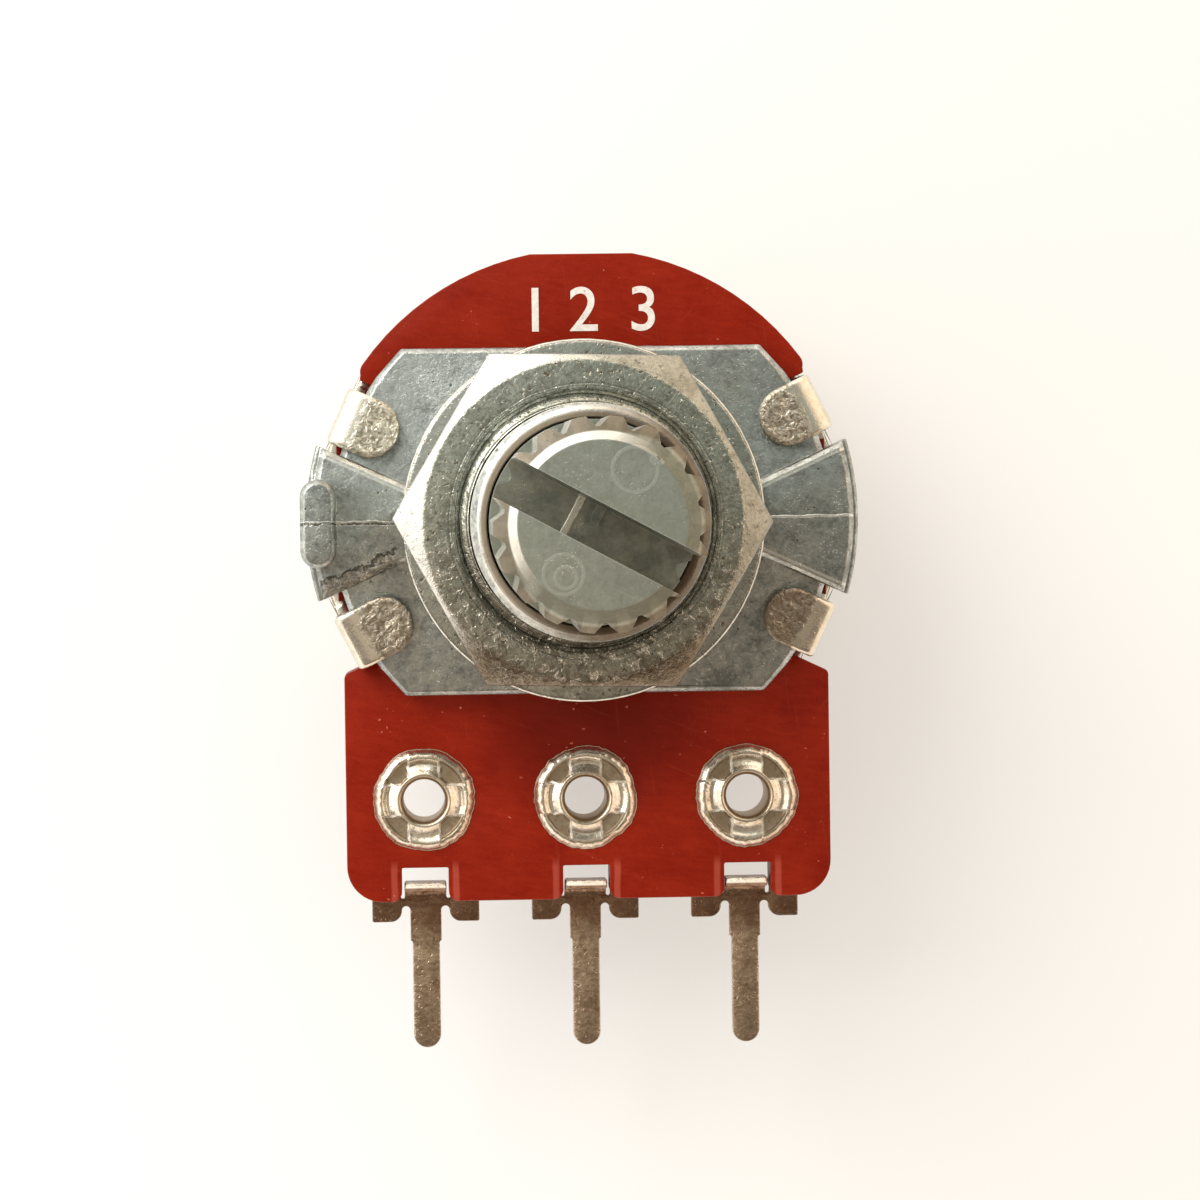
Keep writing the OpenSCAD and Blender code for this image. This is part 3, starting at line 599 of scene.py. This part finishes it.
FINISH = {
    "zinc_casting": zinc("die-cast zinc", rgb(202, 206, 202), rgb(132, 136, 134), casting_marks),
    "zinc_shaft": zinc("shaft zinc", rgb(196, 200, 190), rgb(166, 169, 158), tip_marks,
                       pits=0.1, rough=(0.3, 0.4), relief=0.012),
    "plated_nut": plated("dull nickel, nut", rgb(208, 210, 198), rgb(140, 140, 128),
                         relief=0.045, tarnish=0.75, litter=0.8, marks=nut_marks),
    "plated_washer": plated("dull nickel, washer", rgb(204, 206, 198), rgb(156, 156, 148),
                            tarnish=0.7),
    "red_phenolic": phenolic("red phenolic laminate"),
    "carbon_ink": ink("carbon ink", rgb(44, 44, 45), rgb(28, 28, 29), 0.6),
    "silver_ink": ink("silver ink", rgb(198, 198, 192), rgb(168, 168, 160), 0.42),
    "tinned_terminal": plated("tin plate", rgb(232, 212, 188), rgb(168, 144, 120),
                              rough=(0.24, 0.36), relief=0.05, stain=(112, 90, 70),
                              edge=(252, 244, 230), reach=0.08, litter=0.08, marks=pin_marks),
    "nickel_eyelet": plated("nickel, eyelet", rgb(248, 242, 230), rgb(214, 200, 178),
                            rough=(0.2, 0.3), relief=0.014, stain=(120, 96, 70),
                            edge=(254, 250, 242), reach=0.04, litter=0.3, marks=eyelet_marks),
    "nickel_steel": plated("nickel, can", rgb(242, 236, 222), rgb(226, 218, 200),
                           rough=(0.2, 0.3), relief=0.018, tarnish=0.25, stain=(150, 134, 110),
                           edge=(252, 246, 230), reach=0.06, litter=0.3, marks=tab_marks),
    "spring_steel": plated("spring steel", rgb(196, 194, 186), rgb(160, 158, 150)),
    "black_moulding": ink("black moulding", rgb(38, 38, 40), rgb(26, 26, 28), 0.55),
    "spring_bronze": plated("spring bronze", rgb(210, 158, 98), rgb(176, 122, 70)),
}
WHITE_INK = ink("white ink", rgb(240, 234, 224), rgb(222, 210, 198), 0.5, worn=0.5)


def dress(piece, slot, material=None):
    """Gives a piece the material of a slot, or another that stands for it."""
    piece.data.materials.clear()
    piece.data.materials.append(material or FINISH[slot])


for node, slot in SLOTS.items():
    dress(NODES[node], slot)


# ---------------------------------------------------------------- modelling helpers

def work_on(piece):
    """Object mode, with one piece selected and active."""
    if bpy.context.mode != "OBJECT":
        bpy.ops.object.mode_set(mode="OBJECT")
    bpy.ops.object.select_all(action="DESELECT")
    piece.select_set(True)
    bpy.context.view_layer.objects.active = piece


def edit(piece):
    """Edit mode, with all of a piece's faces selected."""
    work_on(piece)
    bpy.ops.object.mode_set(mode="EDIT")
    bpy.ops.mesh.select_mode(type="FACE")
    bpy.ops.mesh.select_all(action="SELECT")


def done():
    """Back to object mode."""
    bpy.ops.object.mode_set(mode="OBJECT")


def shift(piece, test, move):
    """Moves the vertices whose place passes a test. Places and moves are in millimetres."""
    edit(piece)
    bpy.ops.mesh.select_mode(type="VERT")
    bpy.ops.mesh.select_all(action="DESELECT")
    mesh = bmesh.from_edit_mesh(piece.data)
    for vertex in mesh.verts:
        vertex.select_set(test(vertex.co / MM))
    mesh.select_flush_mode()
    bmesh.update_edit_mesh(piece.data)
    bpy.ops.transform.translate(value=[distance * MM for distance in move])
    done()


def apply(piece, kind, **settings):
    """Adds a modifier and applies it at once."""
    work_on(piece)
    modifier = piece.modifiers.new(kind.title(), kind)
    for key, value in settings.items():
        setattr(modifier, key, value)
    bpy.ops.object.modifier_apply(modifier=modifier.name)


def new_piece(name):
    """Names the primitive that was just added."""
    piece = bpy.context.object
    piece.name = name
    piece.data.name = name
    return piece


def linked(name, data):
    """A new object in the scene."""
    thing = bpy.data.objects.new(name, data)
    bpy.context.scene.collection.objects.link(thing)
    return thing


def settle(piece):
    """Puts a piece's place, turn and size into its mesh."""
    work_on(piece)
    bpy.ops.object.transform_apply(location=True, rotation=True, scale=True)


def copy_of(node, name):
    """A piece with a CAD node's shape, its loose triangles merged into clean faces."""
    piece = linked(name, NODES[node].data.copy())
    edit(piece)
    bpy.ops.mesh.remove_doubles(threshold=1e-6)
    bpy.ops.mesh.customdata_custom_splitnormals_clear()
    bpy.ops.mesh.dissolve_limited(angle_limit=math.radians(1.0))
    done()
    return piece


def shade_smooth(piece, degrees):
    """Smooth shading over edges that turn by less than an angle."""
    work_on(piece)
    bpy.ops.object.shade_smooth_by_angle(angle=math.radians(degrees))


def soften(piece, width):
    """Rounds every sharp edge of a piece by a width in millimetres."""
    apply(piece, "BEVEL", width=width * MM, segments=2, limit_method="ANGLE",
          angle_limit=math.radians(28), use_clamp_overlap=False, miter_outer="MITER_ARC")
    shade_smooth(piece, 32)


def outward(piece):
    """Merges doubles and turns every face outwards."""
    edit(piece)
    bpy.ops.mesh.remove_doubles(threshold=1e-6)
    bpy.ops.mesh.normals_make_consistent(inside=False)
    done()


def cut(piece, cutter):
    """Takes a cutter's shape out of a piece, and the cutter out of the scene."""
    apply(piece, "BOOLEAN", operation="DIFFERENCE", object=cutter, solver="EXACT")
    bpy.data.objects.remove(cutter, do_unlink=True)


def turned_piece(name, section, steps, x=0.0, y=0.0):
    """A closed section of (radius, z) points, turned about an upright axis."""
    bpy.ops.mesh.primitive_circle_add(vertices=len(section), radius=MM)
    piece = new_piece(name)
    for vertex, (radius, z) in zip(piece.data.vertices, section):
        vertex.co = Vector((x + radius, y, z)) * MM
    edit(piece)
    bpy.ops.mesh.select_mode(type="EDGE")
    bpy.ops.mesh.select_all(action="SELECT")
    bpy.ops.mesh.spin(steps=steps, angle=math.tau, center=Vector((x, y, 0)) * MM,
                      axis=(0, 0, 1))
    done()
    outward(piece)
    return piece


def smooth(low, high, value):
    """0 below low, 1 above high, and an easy slope between them."""
    t = min(max((value - low) / (high - low), 0.0), 1.0)
    return t * t * (3 - 2 * t)


def finish_piece(piece, slot, node=None, body=HOUSING, material=None):
    """Material, CAD node that the piece replaces, and the body it rides on."""
    dress(piece, slot, material)
    if node:
        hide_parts(node)
    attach(piece, body)


# ---------------------------------------------------------------- casting, nut and washer

def make_front_casting():
    """Plate and wings with softened edges; the bushing above them is a piece of its own."""
    piece = copy_of("front_plate", "front_casting")
    shift(piece, lambda p: math.hypot(p.x, p.y) < BUSHING_R + 0.2 and p.z > NUT_TOP,
          (0, 0, WASHER_TOP - 0.3 - BUSHING_TOP))
    soften(piece, 0.045)
    finish_piece(piece, "zinc_casting", "front_plate")


def make_thread_cutter():
    """A ridge of V section wound up the bushing, to be cut out of it."""
    pitch, turns, steps = 0.75, 9, 72
    start = WASHER_TOP - 0.05
    inner, outer = BUSHING_R - 0.2, BUSHING_R + 0.1
    bpy.ops.mesh.primitive_plane_add(size=MM)
    cutter = new_piece("thread_cutter")
    section = [(inner, -0.1), (outer, -0.34), (inner, 0.1), (outer, 0.34)]
    for vertex, (radius, rise) in zip(cutter.data.vertices, section):
        vertex.co = Vector((radius, 0, start + rise)) * MM
    edit(cutter)
    bpy.ops.mesh.delete(type="ONLY_FACE")
    done()
    apply(cutter, "SCREW", axis="Z", screw_offset=pitch * MM, angle=math.tau, steps=steps,
          render_steps=steps, iterations=turns, use_normal_calculate=True)
    edit(cutter)
    bpy.ops.mesh.fill_holes(sides=4)
    bpy.ops.mesh.normals_make_consistent(inside=False)
    done()
    return cutter


def make_bushing():
    """Threaded bushing, with a chamfered rim."""
    foot, bore = WASHER_TOP - 0.35, 3.05
    section = [(bore, foot), (BUSHING_R, foot), (BUSHING_R, BUSHING_TOP - 0.25),
               (BUSHING_R - 0.1, BUSHING_TOP - 0.1), (BUSHING_R - 0.18, BUSHING_TOP - 0.03),
               (BUSHING_R - 0.26, BUSHING_TOP), (bore + 0.1, BUSHING_TOP),
               (bore + 0.04, BUSHING_TOP - 0.02), (bore, BUSHING_TOP - 0.08)]
    piece = turned_piece("threaded_bushing", section, 120)
    cut(piece, make_thread_cutter())
    shade_smooth(piece, 26)
    finish_piece(piece, "zinc_casting")


def make_nut():
    """Nut with a shallow countersink, its sides a hair to the left of its thread."""
    piece = copy_of("hex_nut", "mounting_nut")
    bore = BUSHING_R + 0.1
    shift(piece, lambda p: math.hypot(p.x, p.y) < bore and p.z > NUT_TOP - 0.7, (0, 0, 0.42))
    shift(piece, lambda p: math.hypot(p.x, p.y) > BUSHING_R + 0.8, (-0.08, 0.02, 0))
    soften(piece, 0.05)
    finish_piece(piece, "plated_nut", "hex_nut")


def make_washer():
    """Flat washer with rounded edges."""
    piece = copy_of("flat_washer", "mounting_washer")
    soften(piece, 0.09)
    finish_piece(piece, "plated_washer", "flat_washer")


# ---------------------------------------------------------------- shaft

def make_slot_cutter():
    """A block that sets the slot's lower wall back a little further."""
    size, back = 8.0, 0.71
    bpy.ops.mesh.primitive_cube_add(size=1)
    piece = new_piece("slot_cutter")
    turn = math.radians(SLOT_ANGLE)
    for vertex in piece.data.vertices:
        a, b = size * vertex.co.x, back * (vertex.co.y + 0.5)
        vertex.co = Vector((a * math.cos(turn) - b * math.sin(turn),
                            a * math.sin(turn) + b * math.cos(turn),
                            SLOT_FLOOR + size * (vertex.co.z + 0.5))) * MM
    return piece


def make_shaft():
    """Knurled shaft, its slot widened and its end cut back all round to a flat cone."""
    piece = copy_of("shaft", "knurled_shaft")
    cut(piece, turned_piece("end_cutter", [(2.26, TIP + 0.048), (3.3, TIP + 0.4),
                                           (3.3, TIP - 0.576)], 144))
    cut(piece, make_slot_cutter())
    shade_smooth(piece, 22)
    finish_piece(piece, "zinc_shaft", "shaft", TURNING)


# ---------------------------------------------------------------- board, terminals, eyelets

def make_board():
    """Laminate board with its edges just broken."""
    piece = copy_of("board", "terminal_board")
    soften(piece, 0.05)
    finish_piece(piece, "red_phenolic", "board")


def make_terminals():
    """Three pins alike, the sheared ends in the board's slots sloping outwards."""
    middle = copy_of("terminal_middle", "pin_middle")
    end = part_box("terminal_middle")[1][2] / MM
    shift(middle, lambda p: p.z > end - 0.1 and p.y < BOARD_EDGE + 0.4, (0, 0, -0.26))
    soften(middle, 0.055)
    pins = {"middle": middle}
    for side, x in (("left", -PITCH), ("right", PITCH)):
        pins[side] = linked("pin_" + side, middle.data.copy())
        pins[side].location.x = x * MM
        settle(pins[side])
    for side, pin in pins.items():
        finish_piece(pin, "tinned_terminal", "terminal_" + side)


def swaged(p, seed, arms, sinks):
    """Radius and height to which the tool pressed a point of an eyelet's front end. The point
    and the result are in millimetres, from where the eyelet's axis meets the board."""
    r, turn = math.hypot(p.x, p.y), math.atan2(p.y, p.x)
    # the flange's edge wanders in and out
    cos, sin = math.cos(turn), math.sin(turn)
    rim = 1.59 + 0.06 * noise.noise(Vector((cos * 2.4, sin * 2.4, seed * 3.7)))
    rim += 0.035 * noise.noise(Vector((cos * 9, sin * 9, seed)))
    radius = LIP_R + (r - LIP_R) / FLANGE * (rim - LIP_R) if r > LIP_R else r
    quarter = math.pi / 2
    arm = round(turn / quarter) % 4
    if abs(r * math.sin(turn - arm * quarter)) < ARM_HALF:
        # an arm: it falls from the lip, levels out, and rises a little towards its end
        lift, slope = arms[arm]
        fall, level = 0.74, 1.08
        if radius < level:
            z = LIP_HEIGHT - fall * min(max(radius - LIP_R, 0), 0.23 + lift)
        else:
            z = 0.13 - fall * lift + (0.07 + slope) * smooth(1.12, 1.34, radius)
    else:
        # a facet between two arms, pressed down close to the board
        sink = sinks[int(((turn + math.tau) % math.tau) / quarter) % 4]
        z = LIP_HEIGHT - 0.26 * smooth(0.83, 0.88, radius)
        z += (0.08 + sink) * (radius - 0.85)
        z += 0.12 * smooth(1.27, 1.34, radius)
    z += 0.006 * noise.noise(Vector((p.x * 6, p.y * 6, seed * 1.9)))
    edge = min(max((radius - rim + 0.24) / 0.24, 0.0), 1.0)
    z = max(z * (1 - edge ** 1.6), 0.012)
    # the flange's underside stays on the board
    return radius, p.z if p.z < 0.05 and r > 1.25 else z


def make_eyelet(name, node, x, seed):
    """Barrel through terminal and board, with its front end swaged into a cross."""
    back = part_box(node)[0][2] / MM - BOARD_TOP
    rings = 44
    # (radius, height over the board): bore, lip, flange, barrel and the roll at the back
    section = [(0.64, -0.4), (0.645, 0.02), (0.665, 0.14), (0.7, 0.22), (0.745, 0.28),
               (0.785, LIP_HEIGHT), (LIP_R, LIP_HEIGHT)]
    section += [(LIP_R + FLANGE * k / rings, 0.2) for k in range(1, rings + 1)]
    section += [(1.62, 0.03), (1.6, 0.004), (1.3, 0.004), (0.955, 0.004),
                (0.95, -0.2), (0.95, back + 0.25), (1.37, back + 0.25), (1.46, back + 0.2),
                (1.48, back + 0.12), (1.44, back + 0.04), (1.37, back), (0.82, back),
                (0.73, back + 0.03), (0.66, back + 0.1), (0.64, back + 0.6)]
    piece = turned_piece(name, [(radius, BOARD_TOP + z) for radius, z in section], 288,
                         x, EYELET_Y)
    chance = random.Random(seed)
    arms = [(chance.uniform(-0.03, 0.03), chance.uniform(0.0, 0.06)) for _ in range(4)]
    sinks = [chance.uniform(-0.03, 0.03) for _ in range(4)]
    for vertex in piece.data.vertices:
        p = vertex.co / MM - Vector((x, EYELET_Y, BOARD_TOP))
        if p.z < 0.002 or math.hypot(p.x, p.y) < 0.8:
            continue
        turn = math.atan2(p.y, p.x)
        radius, z = swaged(p, seed, arms, sinks)
        vertex.co = ((x + radius * math.cos(turn)) * MM,
                     (EYELET_Y + radius * math.sin(turn)) * MM, (BOARD_TOP + z) * MM)
    shade_smooth(piece, 50)
    finish_piece(piece, "nickel_eyelet", node)


# ---------------------------------------------------------------- can and its tabs

def make_tab(name, angle, length, seed):
    """A strip up through the board, folded over the plate, with a round crumpled end."""
    half_width, wall = 0.9, 0.33
    # the fold starts tight, and turns gentle once the strip leans
    tight, gentle, lean = 0.38, 1.5, math.radians(64)
    clear, outer = 0.012, CAN_R + 0.1
    top, foot = SEAT + 0.35, CAN_TOP - 0.4
    rise = tight * math.sin(lean) + gentle * (1 - math.sin(lean))
    inwards = tight * (1 - math.cos(lean)) + gentle * math.cos(lean)
    up = top - rise - foot
    first = tight * lean
    arc = first + gentle * (math.pi / 2 - lean)
    flat = length - (outer - CAN_R) - inwards
    total = up + arc + flat + (outer - CAN_R)
    reach = total - half_width
    turn = math.radians(angle)

    def profile(s):
        """Radius and height of the outer face, and its normal, at a length along the strip."""
        if s < up:
            r = CAN_R + clear + (outer - CAN_R - clear) * smooth(0.3, 1.1, s)
            return r, foot + s, 1.0, 0.0
        if s < up + first:
            a = (s - up) / tight
            nr, nz = math.cos(a), math.sin(a)
            return outer - tight + tight * nr, top - rise + tight * nz, nr, nz
        if s < up + arc:
            a = lean + (s - up - first) / gentle
            nr, nz = math.cos(a), math.sin(a)
            return outer - inwards + gentle * nr, top - gentle + gentle * nz, nr, nz
        return outer - inwards - (s - up - arc), top, 0.0, 1.0

    bpy.ops.mesh.primitive_grid_add(x_subdivisions=36, y_subdivisions=110, size=1)
    piece = new_piece(name)
    for vertex in piece.data.vertices:
        v, s = vertex.co.x * 2, (vertex.co.y + 0.5) * total
        half = half_width
        if s > reach:
            # the end is a half circle
            a = (s - reach) / half_width * math.pi / 2
            s = reach + half_width * math.sin(a)
            half = half_width * math.cos(a)
        side = half * v
        r, z, nr, nz = profile(s)
        # rounded edges, and a struck face inside a smooth rim
        gap = half * (1 - abs(v)) if s < reach else half_width - math.hypot(side, s - reach)
        gap = max(gap, 0.0)
        drop = 0.1 * (1 - math.sqrt(max(0.0, 1 - (1 - min(gap / 0.16, 1)) ** 2)))
        struck = smooth(0.12, 0.3, gap) * smooth(up + arc - 0.12, up + arc + 0.16, s)
        dent = noise.noise(Vector((r * 3.4, side * 3.4, seed))) * 0.045
        dent += noise.noise(Vector((r * 8.5, side * 8.5, seed + 9))) * 0.03
        move = -drop + struck * (dent - 0.015)
        r, z = r + nr * move, z + nz * move
        # the foot follows the can's round wall, the fold is straight
        round_share = 1 - smooth(0.4, 2.4, s)
        r -= round_share * (r - math.sqrt(r * r - side * side))
        vertex.co = Vector((r * math.cos(turn) - side * math.sin(turn),
                            r * math.sin(turn) + side * math.cos(turn), z)) * MM
    outward(piece)
    # the open sheet's faces have to look outwards and up before it gets its wall
    faces = [face for face in piece.data.polygons if face.center.z > (top - 0.15) * MM]
    if sum(face.normal.z for face in faces) < 0:
        edit(piece)
        bpy.ops.mesh.flip_normals()
        done()
    apply(piece, "SOLIDIFY", thickness=wall * MM, offset=-1.0, use_even_offset=False,
          use_quality_normals=False)
    shade_smooth(piece, 50)
    finish_piece(piece, "nickel_steel")


def make_can():
    """Drawn can behind the board, with four tabs folded over the plate."""
    piece = copy_of("rear_cover", "can")
    edit(piece)
    bpy.ops.mesh.bisect(plane_co=(0, 0, (CAN_TOP + 0.15) * MM), plane_no=(0, 0, 1),
                        clear_outer=True, use_fill=True)
    done()
    soften(piece, 0.05)
    finish_piece(piece, "nickel_steel", "rear_cover")
    for k, (angle, length) in enumerate(((TAB_ANGLE + 0.6, 2.05), (181.4 - TAB_ANGLE, 2.0),
                                         (181.6 + TAB_ANGLE, 2.2), (-TAB_ANGLE, 2.0))):
        make_tab(f"tab_{k + 1}", angle, length, 3.1 + 7.7 * k)


# ---------------------------------------------------------------- printed numbers

def make_numbers():
    """The terminals' numbers, printed in white above the nut."""
    row, height, thickness, bolder, lift = 5.84, 1.95, 0.008, 0.01, 0.009
    for figure, x in (("1", -1.35), ("2", 0.15), ("3", 2.0)):
        bpy.ops.object.select_all(action="DESELECT")
        bpy.ops.object.text_add(location=(0, 0, 0))
        piece = bpy.context.object
        piece.name = f"number_{figure}"
        piece.data.body = figure
        piece.data.size = height * MM
        piece.data.extrude = thickness * MM
        piece.data.offset = bolder * MM
        piece.data.align_x = "CENTER"
        bpy.ops.object.convert(target="MESH")
        piece = bpy.context.object
        piece.location = Vector((x, row, BOARD_TOP + lift)) * MM
        settle(piece)
        outward(piece)
        finish_piece(piece, "silver_ink", material=WHITE_INK)


make_front_casting()
make_bushing()
make_nut()
make_washer()
make_board()
make_terminals()
make_shaft()
for seed, side, place in ((5, "left", -PITCH), (9, "middle", 0.0), (13, "right", PITCH)):
    make_eyelet("swaged_eyelet_" + side, "eyelet_" + side, place, seed)
make_can()
make_numbers()


# ---------------------------------------------------------------- floor, light, camera

def make_floor():
    """Pale paper, part of whose brightness is its own, so that shadows on it stay faint. Its own
    colour has painted shade, darker and warmer towards the right and the lower end.
    """
    own_light = 0.38
    bpy.ops.object.select_all(action="DESELECT")
    bpy.ops.mesh.primitive_plane_add(size=4.0, location=(0, 0, -0.02 * MM))
    floor = new_piece("floor")
    material = bpy.data.materials.new("pale floor")
    material.use_nodes = True
    t = Nodes(material.node_tree)
    x, y, _ = t.axes(t.add("ShaderNodeTexCoord").outputs["Object"])
    # painted shade: the paper's own colour darker and warmer towards the right and the lower end
    shade_to_right = t.span(t.total((1.0, x), (-0.3, y)), -12 * MM, 20 * MM, smooth=True)
    paper = t.mix(shade_to_right, rgb(252, 251, 249), rgb(236, 228, 219))
    diffuse = t.add("ShaderNodeBsdfDiffuse", {"Color": rgb(244, 241, 236)})
    glow = t.add("ShaderNodeEmission", {"Color": paper, "Strength": 1.0})
    rays = t.add("ShaderNodeLightPath").outputs
    seen = t.either(rays["Is Camera Ray"], rays["Is Glossy Ray"])
    share = t.add("ShaderNodeMixShader", {0: t.math("MULTIPLY", seen, own_light),
                                          1: diffuse.outputs[0], 2: glow.outputs[0]})
    t.add("ShaderNodeOutputMaterial", {0: share.outputs[0]})
    floor.data.materials.append(material)


def make_world():
    """A plain pale room. Metal shows its bright walls, brightest on the left, and its dim
    ceiling."""
    world = bpy.data.worlds.new("studio")
    bpy.context.scene.world = world
    world.use_nodes = True
    t = Nodes(world.node_tree)
    x, y, z = t.axes(t.add("ShaderNodeTexCoord").outputs["Generated"])
    left_right = t.span(x, -0.7, 0.7, smooth=True)
    down_up = t.span(y, -0.7, 0.7, smooth=True)
    walls = t.mix(left_right, (2.1, 2.02, 1.86, 1), (1.5, 1.22, 0.94, 1))
    walls = t.mix(down_up, t.mix(0.5, walls, (0.8, 0.58, 0.42, 1)), walls)
    ceiling = t.mix(down_up, (0.2, 0.15, 0.11, 1), (0.29, 0.31, 0.3, 1))
    ceiling = t.mix(left_right, ceiling, t.mix(0.5, ceiling, (0.06, 0.05, 0.04, 1)))
    # whoever stands in front of the bench hides the lower end's wall but for its foot
    height = t.total((1.0, z), (0.36, t.span(y, -0.1, -0.4)))
    room = t.mix(t.span(height, 0.66, 0.86, smooth=True), walls, ceiling)
    plain = t.mix(left_right, (1.1, 1.09, 1.06, 1), (0.92, 0.875, 0.83, 1))
    rays = t.add("ShaderNodeLightPath").outputs
    seen = t.mix(rays["Is Glossy Ray"], plain, room)
    seen = t.mix(rays["Is Camera Ray"], seen, (1, 1, 1, 1))
    back = t.add("ShaderNodeBackground", {"Color": seen, "Strength": 1.0})
    t.add("ShaderNodeOutputWorld", {0: back.outputs[0]})


def make_card():
    """A dim card close above the part, which only metal shows: cool and light at the upper
    left, brown and dark at the lower right."""
    bpy.ops.object.select_all(action="DESELECT")
    bpy.ops.mesh.primitive_circle_add(vertices=48, radius=30 * MM, fill_type="NGON",
                                      location=(1 * MM, 0, 38 * MM))
    card = new_piece("dim card")
    material = bpy.data.materials.new("dim card")
    material.use_nodes = True
    t = Nodes(material.node_tree)
    x, y, _ = t.axes(t.add("ShaderNodeTexCoord").outputs["Object"])
    left_right = t.span(x, -9 * MM, 9 * MM, smooth=True)
    down_up = t.span(y, -9 * MM, 8 * MM, smooth=True)
    top = t.mix(left_right, (0.57, 0.59, 0.54, 1), (0.31, 0.34, 0.3, 1))
    low = t.mix(left_right, (0.48, 0.4, 0.3, 1), (0.3, 0.24, 0.18, 1))
    glow = t.add("ShaderNodeEmission", {"Color": t.mix(down_up, low, top), "Strength": 1.0})
    t.add("ShaderNodeOutputMaterial", {0: glow.outputs[0]})
    card.data.materials.append(material)
    for kind in ("camera", "diffuse", "transmission", "volume_scatter", "shadow"):
        setattr(card, "visible_" + kind, False)


def make_key_lamp():
    """One large soft lamp, high on the upper left. Its size and places are in metres."""
    data = bpy.data.lights.new("key lamp", "AREA")
    data.shape = "DISK"
    data.size = 0.34
    data.energy = 1.3
    data.color = (1.0, 0.98, 0.95)
    lamp = linked("key lamp", data)
    place, aim = Vector((-0.26, 0.24, 0.34)), Vector((0, 0, 0.01))
    lamp.location = place
    lamp.rotation_mode = "QUATERNION"
    lamp.rotation_quaternion = (aim - place).to_track_quat("-Z", "Y")


def make_camera():
    """Nearly overhead, a hand's breadth above the part and a little to its left."""
    place = Vector((-4.86, 1.23, 150.0)) * MM
    aim = Vector((0.53, -2.49, 7.8)) * MM
    roll = math.radians(0.8)
    data = bpy.data.cameras.new("camera")
    data.sensor_width = 36.0
    data.lens = 138.0
    data.clip_start = 0.01
    camera = linked("camera", data)
    look = (aim - place).normalized()
    side = look.cross(Vector((math.sin(roll), math.cos(roll), 0))).normalized()
    camera.matrix_world = Matrix((side, side.cross(look), -look)).transposed().to_4x4()
    camera.location = place
    bpy.context.scene.camera = camera


make_floor()
make_world()
make_card()
make_key_lamp()
make_camera()
bpy.context.scene.view_settings.view_transform = "Standard"
